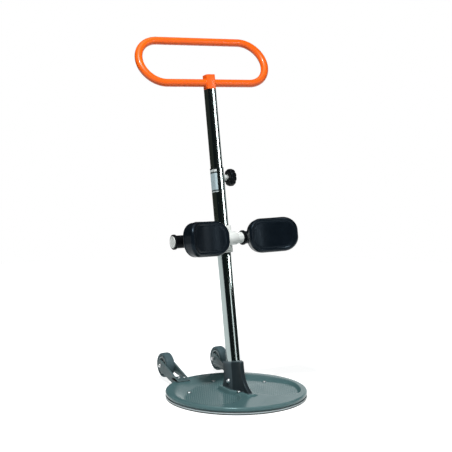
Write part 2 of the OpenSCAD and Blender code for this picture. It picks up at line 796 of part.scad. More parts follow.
module fork_screws() {
    color("#c9cdcf") for (sx = [-1, 1], dx = [-1, 1])
        translate([fork_screw_x(sx, dx), fork_screw_y(), deck_z + fork_foot_h])
            pan_screw(fork_screw_d, fork_foot_h + plate_t - fork_screw_left - 0.5);
}

// Axle bolts through the forks
module wheel_axles() {
    head_r = axle_d * hex_share / 2;
    color("#b9bcbf") for (sx = [-1, 1]) translate([sx * wheel_x, wheel_y, wheel_z]) rotate([0, sx * 90, 0]) {
        translate([0, 0, -arm_out - axle_d]) cylinder(d = axle_d, h = 2 * arm_out + axle_d);
        translate([0, 0, arm_out]) rotate_extrude() polygon(concat([[0, 0]], arc(0, 0, head_r, 0, 90, 5)));
    }
}

module axle_nuts() {
    color("#b9bcbf") for (sx = [-1, 1]) translate([sx * (wheel_x - arm_out), wheel_y, wheel_z])
        rotate([0, -sx * 90, 0]) difference() {
            cylinder(d = axle_d * hex_share, h = axle_d * 0.75, $fn = 6);
            translate([0, 0, -1]) cylinder(d = axle_d + 2 * seat_clear, h = axle_d + 2);
        }
}

// Square chromed tube that slides in the outer tube
module inner_tube() {
    color("#c3c7c8") difference() {
        on_post(inner_bottom) linear_extrude(socket_bottom - inner_bottom) difference() {
            round_square(inner_w, inner_r);
            round_square(inner_cavity, cavity_r);
        }
        on_post(socket_bottom - spigot_h / 2) to_rear()
            cylinder(d = socket_screw_d + 2 * seat_clear, h = outer_w);
    }
}

// Plastic plug that closes the inner tube's lower end
module tube_plug() {
    color("#26292b") on_post(inner_bottom) {
        linear_extrude(plug_h) round_square(inner_cavity - 2 * seat_clear, cavity_r - seat_clear);
        translate([0, 0, -3]) linear_extrude(3) round_square(inner_w, inner_r);
    }
}

// Square socket that carries the handle, with a spigot in the inner tube
module handle_socket() {
    color("#f0701c") difference() {
        on_post(0) {
            translate([0, 0, socket_bottom]) linear_extrude(socket_down + socket_up)
                round_square(inner_w, inner_r);
            translate([0, 0, socket_bottom - spigot_h]) linear_extrude(spigot_h + 1)
                round_square(inner_cavity - 2 * seat_clear, cavity_r - seat_clear);
        }
        on_post(bar_s) to_right() cylinder(d = loop_d + 2 * seat_clear, h = 2 * outer_w, center = true);
        on_post(socket_bottom - spigot_h / 2) to_rear()
            cylinder(d = socket_screw_d + 2 * seat_clear, h = outer_w);
    }
}

// Screw through the tube's back into the spigot
module socket_screw() {
    color("#c9cdcf") on_post(socket_bottom - spigot_h / 2) to_rear() translate([0, 0, inner_w / 2])
        pan_screw(socket_screw_d, inner_w / 2 - 3);
}

module loop_bar(r) {
    to_right() cylinder(r = r, h = 2 * loop_half, center = true);
}

module loop_end(sx, r) {
    translate([sx * loop_half, 0, loop_bend]) rotate([90, sx * 90, 0])
        rotate_extrude(angle = 180) translate([loop_bend, 0]) circle(r = r);
}

// Flat-oval loop of bent tube whose ends meet inside the socket
module handle_loop() {
    color("#f0701c") on_post(bar_s) rotate([-loop_tilt, 0, 0]) difference() {
        union() {
            loop_bar(loop_d / 2);
            translate([0, 0, 2 * loop_bend]) loop_bar(loop_d / 2);
            for (sx = [-1, 1]) loop_end(sx, loop_d / 2);
        }
        union() {
            loop_bar(loop_d / 2 - loop_wall);
            translate([0, 0, 2 * loop_bend]) loop_bar(loop_d / 2 - loop_wall);
            for (sx = [-1, 1]) loop_end(sx, loop_d / 2 - loop_wall);
        }
        cube([1, 2 * loop_d, 1.5 * loop_d], center = true);
    }
}

// Pieces of a hand clamp, stacked along local Z from the face that they press on
module press_pad_shape(d, l) {
    translate([0, 0, gap]) cylinder(d = d, h = l);
}

module stud_shape(d, from, to) {
    translate([0, 0, from]) cylinder(d = d, h = to - from);
}

module neck_shape(d1, d2, bore, from, l) {
    translate([0, 0, from]) difference() {
        cylinder(d1 = d1, d2 = d2, h = l);
        translate([0, 0, -1]) cylinder(d = bore + 2 * seat_clear, h = l + 2);
    }
}

module knob_shape(d, t, bore, from) {
    e = t * knob_edge_share;
    flute_r = d * flute_share;
    dish = [[d * dish_share[0], t], [d * dish_share[1], t - dish_h], [0, t - dish_h]];
    translate([0, 0, from]) difference() {
        rotate_extrude() polygon(concat([[0, 0], [d / 2 - e, 0]], arc(d / 2 - e, e, e, -90, 0, 4),
            arc(d / 2 - e, t - e, e, 0, 90, 4), dish));
        for (i = [0 : flutes - 1]) rotate([0, 0, (i + 0.5) * 360 / flutes])
            translate([d / 2 + flute_r - flute_h, 0, -1]) cylinder(r = flute_r, h = t + 2);
        translate([0, 0, -1]) cylinder(d = bore + 2 * seat_clear, h = t * stud_share + 1);
    }
}

module on_clamp() {
    on_post(clamp_s) to_right() children();
}

module on_small_clamp() {
    on_post(rod_s) to_rear() children();
}

// Tip that presses on the inner tube
module press_pad() {
    color("#e3e2da") on_clamp() translate([0, 0, press_from]) press_pad_shape(stud_d, press_l);
}

module knob_stud() {
    color("#b9bcbf") on_clamp() stud_shape(stud_d, stud_from, knob_from + knob_t * stud_share);
}

module knob_neck() {
    color("#cfd2d0") on_clamp() neck_shape(neck_d, stud_d + 2 * neck_wall, stud_d, neck_from, neck_l);
}

// Fluted hand knob of the post clamp
module knob() {
    color("#1d1f22") on_clamp() knob_shape(knob_d, knob_t, stud_d, knob_from);
}

// Moulded body on the front and sides of the post, with the rod's boss in front
module carriage_body() {
    color("#eceeec") on_post(rod_s) difference() {
        union() {
            translate([-carriage_out, -carriage_out, -carriage_h / 2])
                cube([2 * carriage_out, carriage_out + cover_y, carriage_h]);
            translate([0, -rod_reach, 0]) to_right()
                cylinder(r = rod_boss_r, h = 2 * carriage_out, center = true);
            translate([-carriage_out, -rod_reach, -rod_boss_r * 0.8])
                cube([2 * carriage_out, rod_reach - carriage_in, rod_boss_r * 1.6]);
        }
        translate([0, 0, -carriage_h]) linear_extrude(2 * carriage_h) union() {
            round_square(2 * carriage_in, outer_r);
            translate([-carriage_in, 0]) square([2 * carriage_in, 2 * carriage_in]);
        }
        translate([0, -rod_reach, 0]) to_right()
            cylinder(d = rod_d + 2 * seat_clear, h = 3 * carriage_out, center = true);
        cover_screw_places() translate([0, 0, -cover_screw_depth])
            cylinder(d = cover_screw_d + 2 * seat_clear, h = cover_screw_depth + 1);
    }
}

module cover_screw_places() {
    for (sx = [-1, 1], sz = [-1, 1])
        translate([sx * (carriage_in + carriage_wall / 2), cover_y, sz * (carriage_h / 2 - cover_screw_in)])
            to_rear() children();
}

// Rear cover of the carriage, with the clamp's boss
module carriage_cover() {
    color("#eceeec") on_post(rod_s) difference() {
        union() {
            translate([-carriage_out, cover_y, -carriage_h / 2])
                cube([2 * carriage_out, carriage_wall, carriage_h]);
            translate([0, carriage_out - small, 0]) to_rear()
                cylinder(d = small_boss_d, h = small_boss_l + small);
        }
        to_rear() cylinder(d = small_stud_d + 2 * run_clear, h = 2 * outer_w);
        cover_screw_places() translate([0, 0, -1])
            cylinder(d = cover_screw_d + 2 * seat_clear, h = carriage_wall + 2);
    }
}

module cover_screws() {
    color("#c9cdcf") on_post(rod_s) cover_screw_places() translate([0, 0, carriage_wall])
        pan_screw(cover_screw_d, carriage_wall + cover_screw_depth - 2);
}

// White rod across the front of the post, ribbed where it is bare
module cross_rod() {
    color("#f2f3f1") on_rod() to_right() difference() {
        union() {
            cylinder(d = rod_d, h = 2 * rod_half, center = true);
            for (sx = [-1, 1], k = [0 : ribs - 1])
                translate([0, 0, sx * (bare_from + (k + 0.5) * rib_step) - rib_w / 2])
                    cylinder(r = rod_r + rib_h, h = rib_w);
        }
        cylinder(d = rod_d - 2 * rod_wall, h = 3 * rod_half, center = true);
    }
}

// Caps that close the rod's ends and keep the sleeves on it
module rod_end_caps() {
    color("#f7f7f4") on_rod() for (sx = [-1, 1]) rotate([0, sx * 90, 0]) translate([0, 0, rod_half]) {
        rotate_extrude() polygon(concat([[0, 0], [cap_d / 2, 0]],
            arc(cap_d / 2 - cap_round, cap_t - cap_round, cap_round, 0, 90, 4), [[0, cap_t]]));
        translate([0, 0, -cap_spigot])
            cylinder(d = rod_d - 2 * rod_wall - 2 * seat_clear, h = cap_spigot + small);
    }
}

module small_press_pad() {
    color("#e3e2da") on_small_clamp() translate([0, 0, small_press_from])
        press_pad_shape(small_stud_d, small_press_l);
}

module small_knob_stud() {
    color("#b9bcbf") on_small_clamp()
        stud_shape(small_stud_d, small_stud_from, small_knob_from + small_knob_t * stud_share);
}

module small_knob_neck() {
    wide = small_neck_d + small_neck_flare;
    color("#cfd2d0") on_small_clamp()
        neck_shape(small_neck_d, wide, small_stud_d, small_neck_from, small_neck_l);
}

module small_knob() {
    color("#1d1f22") on_small_clamp() knob_shape(small_knob_d, small_knob_t, small_stud_d, small_knob_from);
}

// Black sleeve with flanged ends that turns on the rod
module sleeve(sx) {
    color("#202326") on_rod() rotate([0, sx * 90, 0]) translate([0, 0, sleeve_in]) difference() {
        union() {
            cylinder(r = sleeve_r, h = sleeve_l);
            cylinder(r = flange_r, h = flange_w);
            translate([0, 0, sleeve_l - flange_w]) cylinder(r = flange_r, h = flange_w);
        }
        translate([0, 0, -1]) cylinder(r = rod_r + run_clear, h = sleeve_l + 2);
    }
}

// Places children at a pad's back: local -Y faces the user, turned towards the middle.
module on_pad(sx) {
    on_rod() translate([sx * pad_x, -pad_back, 0]) rotate([0, 0, sx * -pad_toe]) children();
}

// Carrier plate behind a pad, with the neck that grips the sleeve
module carrier(sx) {
    color("#25282b") difference() {
        union() {
            on_pad(sx) translate([0, carrier_t, 0]) rotate([90, 0, 0])
                linear_extrude(carrier_t) polygon(pad_outline(carrier_inset));
            on_pad(sx) translate([-carrier_neck_w / 2, small, -carrier_neck_h / 2])
                cube([carrier_neck_w, pad_back - 2 * small, carrier_neck_h]);
        }
        on_rod() to_right() cylinder(r = sleeve_r + seat_clear, h = 4 * sleeve_out, center = true);
        on_rod() translate([-2 * sleeve_out, 0, -pad_h]) cube([4 * sleeve_out, pad_h, 2 * pad_h]);
        on_pad(sx) for (dx = [-1, 1]) translate([dx * pad_screw_x, -1, 0]) to_rear()
            cylinder(d = pad_screw_d + 2 * seat_clear, h = carrier_t + 2);
    }
}

module pad_screws(sx) {
    color("#8f9496") on_pad(sx) for (dx = [-1, 1]) translate([dx * pad_screw_x, carrier_t, 0]) to_rear()
        pan_screw(pad_screw_d, carrier_t + pad_screw_in);
}

// Rings of a pad from the middle of its front to its lip: [inset, share of outline, drop behind front]
pad_rings = concat(
    [for (k = [1 : 4]) [pad_round, k / 4, 0]],
    [for (a = [22.5, 45, 67.5, 90]) [pad_round * (1 - sin(a)), 1, pad_round * (1 - cos(a))]]);
function pad_front(x) = pad_t - pad_hollow * (1 - pow(x / (pad_w / 2), 2));
function pad_ring(inset, share, drop) = [for (p = share * pad_outline(inset))
    [p[0], -(pad_front(p[0]) - drop), p[1]]];
function flat_ring(inset, y) = [for (p = pad_outline(inset)) [p[0], -y, p[1]]];

// Moulded shin pad: a hollowed front with a round lip and drawn-in sides
module pad(sx) {
    rings = concat([for (q = pad_rings) pad_ring(q[0], q[1], q[2])], [
        flat_ring(pad_draw, pad_band), flat_ring(pad_foot, pad_band / 2), flat_ring(pad_edge, 0)]);
    n = len(rings[0]);
    last = len(rings) - 1;
    pts = concat([for (r = rings) each r], [[0, -pad_front(0), 0], [0, 0, 0]]);
    faces = concat(fan_back(len(rings) * n, 0, n), [for (i = [0 : last - 1]) each band(i, n)],
        fan(len(rings) * n + 1, last * n, n));
    color("#23282c") on_pad(sx) difference() {
        polyhedron(points = pts, faces = faces);
        for (dx = [-1, 1]) translate([dx * pad_screw_x, -pad_screw_in - 1, 0]) to_rear()
            cylinder(d = pad_screw_d + 2 * seat_clear, h = pad_screw_in + 2);
    }
}

module left_sleeve() {
    sleeve(-1);
}

module left_carrier() {
    carrier(-1);
}

module left_pad_screws() {
    pad_screws(-1);
}

module left_pad() {
    pad(-1);
}

module right_sleeve() {
    sleeve(1);
}

module right_carrier() {
    carrier(1);
}

module right_pad_screws() {
    pad_screws(1);
}

module right_pad() {
    pad(1);
}

// Wheel hub with a web, a boss and round lightening holes
module wheel_hub(sx) {
    web_t = wheel_w * web_share;
    boss_r = axle_d / 2 + hub_boss_wall;
    hole_r = (hub_d / 2 - hub_rim - boss_r) * hub_hole_share;
    hole_at = (hub_d / 2 - hub_rim + boss_r) / 2;
    color("#7d8c8e") translate([sx * wheel_x, wheel_y, wheel_z]) to_right() difference() {
        union() {
            translate([0, 0, -wheel_w / 2 + hub_step])
                pipe(hub_d / 2 - hub_rim, hub_d / 2, wheel_w - 2 * hub_step);
            cylinder(d = hub_d - hub_rim, h = web_t, center = true);
            cylinder(r = boss_r, h = 2 * (arm_in - gap), center = true);
        }
        cylinder(d = axle_d + 2 * run_clear, h = 2 * wheel_w, center = true);
        for (i = [0 : hub_holes - 1]) rotate([0, 0, i * 360 / hub_holes]) translate([hole_at, 0, 0])
            cylinder(r = hole_r, h = wheel_w, center = true);
    }
}

// Solid tyre on the hub
module tyre(sx) {
    e = wheel_w * tyre_share;
    color("#5f6d70") translate([sx * wheel_x, wheel_y, wheel_z]) to_right() rotate_extrude() polygon(concat(
        [[hub_d / 2, -wheel_w / 2], [wheel_d / 2 - e, -wheel_w / 2]],
        arc(wheel_d / 2 - e, -wheel_w / 2 + e, e, -90, 0, 5),
        arc(wheel_d / 2 - e, wheel_w / 2 - e, e, 0, 90, 5), [[hub_d / 2, wheel_w / 2]]));
}

module left_wheel_hub() {
    wheel_hub(-1);
}

module left_tyre() {
    tyre(-1);
}

module right_wheel_hub() {
    wheel_hub(1);
}

module right_tyre() {
    tyre(1);
}

floor_mat();
base_disc();
spindle();
spindle_washer();
spindle_nut();
footplate();
glide_ring();
pivot_bush();
plate_screws();
pedestal();
pedestal_screws();
cross_bolt();
cross_bolt_nut();
outer_tube();
guide_bush();
clamp_boss();
label_plate();
left_fork();
right_fork();
fork_screws();
wheel_axles();
axle_nuts();
inner_tube();
tube_plug();
handle_socket();
socket_screw();
handle_loop();
press_pad();
knob_stud();
knob_neck();
knob();
carriage_body();
carriage_cover();
cover_screws();
cross_rod();
rod_end_caps();
small_press_pad();
small_knob_stud();
small_knob_neck();
small_knob();
left_sleeve();
left_carrier();
left_pad_screws();
left_pad();
right_sleeve();
right_carrier();
right_pad_screws();
right_pad();
left_wheel_hub();
left_tyre();
right_wheel_hub();
right_tyre();
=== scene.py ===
"""Patient turner: the finished look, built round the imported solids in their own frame."""

import json
import logging
import math
from dataclasses import dataclass
from enum import Enum

import bmesh
import bpy
import numpy as np
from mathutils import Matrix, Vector


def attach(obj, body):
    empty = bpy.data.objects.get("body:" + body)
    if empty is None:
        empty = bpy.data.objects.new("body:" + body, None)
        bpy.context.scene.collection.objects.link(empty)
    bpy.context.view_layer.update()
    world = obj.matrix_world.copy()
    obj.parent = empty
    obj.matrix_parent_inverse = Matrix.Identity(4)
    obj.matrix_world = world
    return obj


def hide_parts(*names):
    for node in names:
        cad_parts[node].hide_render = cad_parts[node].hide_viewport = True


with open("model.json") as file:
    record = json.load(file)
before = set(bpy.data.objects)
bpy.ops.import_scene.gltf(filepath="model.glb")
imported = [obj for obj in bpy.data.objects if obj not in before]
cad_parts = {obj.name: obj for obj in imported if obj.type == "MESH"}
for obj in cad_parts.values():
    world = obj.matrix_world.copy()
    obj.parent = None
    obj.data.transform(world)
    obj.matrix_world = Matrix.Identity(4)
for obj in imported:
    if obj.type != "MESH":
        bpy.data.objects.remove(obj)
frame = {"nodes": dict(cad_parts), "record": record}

log = logging.getLogger("patient_turner")

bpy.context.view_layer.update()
MM = 0.001
MERGE = 2e-6
TINY = 1e-6
Points = np.ndarray
Span = tuple[float, float]
Triple = tuple[float, float, float]
Colour = tuple[float, float, float, float]
Tree = bpy.types.NodeTree
Socket = bpy.types.NodeSocket

# Sizes that several pieces share, in millimetres, with the post's lean in degrees.
POST_LEAN = 10.1
POST_Y = 3.0
POST_W = 35.0
DECK = 23.0
PLATE_R = 225.0
LABEL = (629.0, 702.0)
CLAMP_S = 675.0
ROD_S = 477.0
WHEEL_X = 102.5
TO_REAR = np.array([0.0, 1.0, 0.0])
UP = np.array([0.0, 0.0, 1.0])


class Slot(Enum):
    """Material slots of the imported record."""

    MAT_RUBBER = "mat_rubber"
    DISC_PAINT = "disc_paint"
    TURNED_STEEL = "turned_steel"
    SCREW_ZINC = "screw_zinc"
    PLATE_PLASTIC = "plate_plastic"
    GLIDE_PLASTIC = "glide_plastic"
    BUSH_BRONZE = "bush_bronze"
    PEDESTAL_PLASTIC = "pedestal_plastic"
    POST_CHROME = "post_chrome"
    BLACK_PLASTIC = "black_plastic"
    PALE_PLASTIC = "pale_plastic"
    PLATE_FOIL = "plate_foil"
    FORK_PLASTIC = "fork_plastic"
    HANDLE_PAINT = "handle_paint"
    WHITE_PLASTIC = "white_plastic"
    PAD_SKIN = "pad_skin"
    HUB_PLASTIC = "hub_plastic"
    WHEEL_RUBBER = "wheel_rubber"


class Side(Enum):
    """Left-hand or right-hand side, as the user sees the turner."""

    LEFT = -1
    RIGHT = 1

    @property
    def word(self) -> str:
        """Name of the side in lower case."""
        return self.name.lower()


def linear(code: str) -> Colour:
    """Turns an sRGB hex colour into linear light.

    Args:
        code: colour as "#rrggbb".

    Returns:
        Red, green, blue and an alpha of 1.
    """
    parts = np.array([int(code[i:i + 2], 16) for i in (1, 3, 5)]) / 255
    light = np.where(parts <= 0.04045, parts / 12.92, ((parts + 0.055) / 1.055) ** 2.4)
    return (*light.tolist(), 1.0)


def add_node(tree: Tree, kind: str, inputs: dict | None = None, **settings: object) -> bpy.types.Node:
    """Adds one shader node.

    Args:
        tree: node tree that gets the node.
        kind: Blender's type of the node, less the word ShaderNode.
        inputs: constants, or sockets to link, by the name or number of the input.
        settings: attributes of the node.

    Returns:
        The new node.
    """
    node = tree.nodes.new(f"ShaderNode{kind}")
    for name, value in settings.items():
        setattr(node, name, value)
    for key, value in (inputs or {}).items():
        if isinstance(value, Socket):
            tree.links.new(value, node.inputs[key])
        else:
            node.inputs[key].default_value = value
    return node


def emptied(owner: bpy.types.Material | bpy.types.World) -> Tree:
    """Turns on the nodes of a material or a world and clears them.

    Args:
        owner: the material or world.

    Returns:
        Its empty node tree.
    """
    owner.use_nodes = True
    owner.node_tree.nodes.clear()
    return owner.node_tree


def mapped(tree: Tree, value: Socket, span: Span, to: Span = (0.0, 1.0)) -> Socket:
    """Value carried from one span to another in a straight line and held at its ends."""
    names = ("Value", "From Min", "From Max", "To Min", "To Max")
    return add_node(tree, "MapRange", dict(zip(names, (value, *span, *to)))).outputs[0]


def tinted(tree: Tree, share: Socket, base: Socket | Colour, code: str) -> Socket:
    """Colour that goes from a base to the tone of a hex code by a share."""
    return add_node(tree, "Mix", {0: share, 6: base, 7: linear(code)}, data_type="RGBA").outputs[2]


def worked(tree: Tree, operation: str, *terms: Socket | float) -> Socket:
    """Result of one operation on numbers and sockets."""
    return add_node(tree, "Math", dict(enumerate(terms)), operation=operation).outputs[0]


def noise(tree: Tree, place: Socket, size: float, detail: float) -> Socket:
    """Noise with patches of a size in millimetres."""
    inputs = {"Vector": place, "Scale": 1 / (size * MM), "Detail": detail}
    return add_node(tree, "TexNoise", inputs).outputs["Fac"]


def bumped(tree: Tree, height: Socket, distance: float) -> Socket:
    """Normal of a surface with a height, whose unit is a distance in metres."""
    return add_node(tree, "Bump", {"Strength": 1.0, "Distance": distance, "Height": height}).outputs[0]


def cos_sin(degrees: float) -> Span:
    """Cosine and sine of an angle in degrees."""
    return math.cos(math.radians(degrees)), math.sin(math.radians(degrees))


def arc(first: float, last: float, count: int) -> Points:
    """Even angles between two ends that are given in degrees."""
    return np.radians(np.linspace(first, last, count))


def round_angles(count: int) -> Points:
    """Even angles of a full turn."""
    return np.linspace(0, 2 * np.pi, count, endpoint=False)


def joined(*parts: Points | float) -> Points:
    """Coordinates side by side as points, with single values and rows stretched to fit."""
    return np.stack(np.broadcast_arrays(*parts), axis=-1)


def circle(a: Points) -> Points:
    """Points of the unit circle: (cos a, sin a)."""
    return joined(np.cos(a), np.sin(a))


def lifted(flat: Points, height: Points | float = 0.0) -> Points:
    """Flat points (a, b) as points (a, b, height)."""
    return joined(flat[..., 0], flat[..., 1], height)


def upright(flat: Points, depth: Points | float = 0.0) -> Points:
    """Flat points (a, b) as points (a, depth, b)."""
    return joined(flat[..., 0], depth, flat[..., 1])


def ease(t: Points) -> Points:
    """Smooth step: three t squared less two t cubed, with t held between 0 and 1."""
    t = np.clip(t, 0, 1)
    return t * t * (3 - 2 * t)


def soft_min(a: Points, b: Points, width: float) -> Points:
    """Lesser of two fields, with a parabola where they differ by less than the width."""
    h = np.clip(0.5 + 0.5 * (b - a) / width, 0, 1)
    return b + (a - b) * h - width * h * (1 - h)


def soft_max(a: Points, b: Points, width: float) -> Points:
    """Greater of two fields, rounded in the same way."""
    return -soft_min(-a, -b, width)


def soft_corners(corners: list, cut: float, steps: int = 5, closed: bool = False) -> Points:
    """Rounds the corners of a polyline.

    Each corner C becomes a parabola from the point A, which lies the cut before it, to the point B, which
    lies the cut after it: (1-u)(1-u)A + 2u(1-u)C + uuB. A cut never takes more than half of a side.

    Args:
        corners: points of the polyline.
        cut: distance at which the rounding starts.
        steps: points of one rounding.
        closed: whether the last point joins the first.

    Returns:
        The points of the rounded line.
    """
    c = np.array(corners, float)

    def towards(end: Points) -> Points:
        """Points on the sides, the cut away from their corners."""
        length = np.linalg.norm(end - c, axis=1, keepdims=True)
        return c + (end - c) * np.minimum(cut / np.maximum(length, TINY), 0.5)

    a = towards(np.roll(c, 1, axis=0))[:, None]
    b = towards(np.roll(c, -1, axis=0))[:, None]
    u = np.linspace(0, 1, steps)[None, :, None]
    line = (1 - u) ** 2 * a + 2 * u * (1 - u) * c[:, None] + u ** 2 * b
    if not closed:
        line[0] = c[0]
        line[-1] = c[-1]
    return line.reshape(-1, c.shape[1])


def soft_rectangle(a: Span, b: Span, cut: float, steps: int = 5) -> Points:
    """Closed outline of a rectangle with rounded corners, from its two spans."""
    return soft_corners([[a[0], b[0]], [a[1], b[0]], [a[1], b[1]], [a[0], b[1]]], cut, steps, closed=True)


def soft_span(low: float, high: float, inset: float, cut: float) -> Points:
    """Rows of inset and place from end to end of a span, with an inset that grows round both ends."""
    return soft_corners([[inset, low], [0, low], [0, high], [inset, high]], cut)


def revolve(profile: Points, sides: int) -> Points:
    """Turns (radius, height) points about local Z, a row for each: (r cos a, r sin a, h)."""
    a, r = round_angles(sides), profile[:, :1]
    return joined(r * np.cos(a), r * np.sin(a), profile[:, 1:])


def sweep(path: Points, across: Points, up: Points, profile: Points) -> Points:
    """Carries a profile (a, b) along a path, a row for each point: path + a * across + b * up."""
    return path[:, None] + profile[:, :1] * across[:, None] + profile[:, 1:] * up


def capped(rings: Points) -> Points:
    """Adds rows at both ends that are gathered in the middle of the end rings, which closes them."""
    first, last = (np.broadcast_to(ring.mean(axis=0), ring.shape)[None] for ring in (rings[0], rings[-1]))
    return np.concatenate([first, rings, last])


def soft_box(low: Triple, high: Triple, cut: float) -> Points:
    """Box with eased edges: a round-cornered rectangle drawn in by the cut at its lower and upper end.

    Args:
        low: lowest corner.
        high: highest corner.
        cut: size of the easing.

    Returns:
        A closed grid whose rows run up the box.
    """
    low, high = np.array(low, float), np.array(high, float)
    half = (high - low) / 2
    ring = soft_rectangle((-half[0], half[0]), (-half[1], half[1]), cut)
    rise = soft_span(-half[2], half[2], cut, cut)
    flat = ring * (1 - rise[:, :1, None] / half[:2])
    return capped(lifted(flat, rise[:, 1:])) + (low + high) / 2


@dataclass(frozen=True)
class Patch:
    """Points of a surface and the quads between them."""

    points: Points
    quads: Points

    @classmethod
    def grid(cls, points: Points, wrap_rows: bool = False) -> "Patch":
        """One grid whose columns run round.

        Args:
            points: grid of points, row by row.
            wrap_rows: whether the last row joins the first.

        Returns:
            The patch.
        """
        rows, cols = points.shape[:2]
        i, j = np.meshgrid(np.arange(rows if wrap_rows else rows - 1), np.arange(cols), indexing="ij")
        k, m = (i + 1) % rows, (j + 1) % cols
        quads = joined(i * cols + j, i * cols + m, k * cols + m, k * cols + j)
        return cls(points.reshape(-1, 3), quads.reshape(-1, 4))

    @classmethod
    def many(cls, points: Points) -> "Patch":
        """The same grid many times, with the number of the copy as the first index.

        Args:
            points: one grid of points for each copy.

        Returns:
            The patch.
        """
        one = cls.grid(points[0])
        starts = np.arange(len(points))[:, None, None] * len(one.points)
        return cls(points.reshape(-1, 3), (one.quads[None] + starts).reshape(-1, 4))


@dataclass(frozen=True)
class Axes:
    """A local frame in the part's frame, in millimetres."""

    origin: Points
    x: Points
    y: Points
    z: Points

    def at(self, points: Points) -> Points:
        """Local points in the part's frame: origin + a x + b y + c z."""
        a, b, c = np.moveaxis(np.asarray(points, float), -1, 0)[..., None]
        return self.origin + a * self.x + b * self.y + c * self.z

    def patch(self, points: Points, wrap_rows: bool = False) -> Patch:
        """Patch of a local grid."""
        return Patch.grid(self.at(points), wrap_rows)

    def turned(self, profile: Points, sides: int = 96, wrap_rows: bool = True) -> Patch:
        """Patch of a profile turned about local Z."""
        return self.patch(revolve(profile, sides), wrap_rows)

    def moved(self, x: float = 0.0, y: float = 0.0, z: float = 0.0) -> "Axes":
        """The same directions about a point moved along them."""
        return Axes(self.at((x, y, z)), self.x, self.y, self.z)

    def tilted(self, degrees: float) -> "Axes":
        """Turned about local X, so that local Z leans to the rear."""
        c, s = cos_sin(degrees)
        return Axes(self.origin, self.x, c * self.y - s * self.z, s * self.y + c * self.z)

    def toed(self, degrees: float) -> "Axes":
        """Turned about local Z."""
        c, s = cos_sin(degrees)
        return Axes(self.origin, c * self.x + s * self.y, c * self.y - s * self.x, self.z)

    def facing_side(self, side: Side) -> "Axes":
        """Local Z turned to the left or the right."""
        return Axes(self.origin, -side.value * self.z, self.y, side.value * self.x)

    def facing_back(self) -> "Axes":
        """Local Z turned to the rear."""
        return Axes(self.origin, self.x, -self.z, self.y)


FLOOR = Axes(np.zeros(3), *np.eye(3))


def post_axes(s: float = 0.0) -> Axes:
    """Frame on the post's axis at the distance s up the post."""
    return FLOOR.moved(0, POST_Y, DECK).tilted(POST_LEAN).moved(z=s)


def make_mesh(name: str, patches: list[Patch], angle: float = 35.0) -> bpy.types.Object:
    """Puts patches into one mesh object at the origin, with merged doubles and outward faces.

    Args:
        name: name of the object.
        patches: its surfaces, in millimetres.
        angle: edges sharper than this stay sharp, in degrees.

    Returns:
        The linked object.
    """
    starts = np.cumsum([0] + [len(p.points) for p in patches[:-1]])
    points = np.concatenate([p.points for p in patches]) * MM
    quads = np.concatenate([p.quads + s for p, s in zip(patches, starts)])
    mesh = bpy.data.meshes.new(name)
    mesh.from_pydata(points.tolist(), [], quads.tolist())
    form = bmesh.new()
    form.from_mesh(mesh)
    bmesh.ops.remove_doubles(form, verts=form.verts, dist=MERGE)
    bmesh.ops.recalc_face_normals(form, faces=form.faces)
    form.to_mesh(mesh)
    form.free()
    mesh.polygons.foreach_set("use_smooth", np.ones(len(mesh.polygons), bool))
    mesh.set_sharp_from_angle(angle=math.radians(angle))
    made = bpy.data.objects.new(name, mesh)
    bpy.context.scene.collection.objects.link(made)
    return made


def make_piece(name: str, patches: list[Patch], slot: Slot, body: str, angle: float = 35.0,
               extra: bool = False) -> bpy.types.Object:
    """Makes a piece of the object: its mesh, its finish, the body that carries it and the node it replaces.

    Args:
        name: name of the piece, which is also the name of its node.
        patches: its surfaces, in millimetres.
        slot: material slot that gives its finish.
        body: body that it rides on.
        angle: edges sharper than this stay sharp, in degrees.
        extra: whether the piece has no node.

    Returns:
        The piece.
    """
    piece = make_mesh(name, patches, angle)
    piece.data.materials.append(FINISHES[slot].material())
    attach(piece, body)
    if not extra:
        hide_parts(name)
    log.info("%s: %d faces on %s", name, len(piece.data.polygons), body)
    return piece


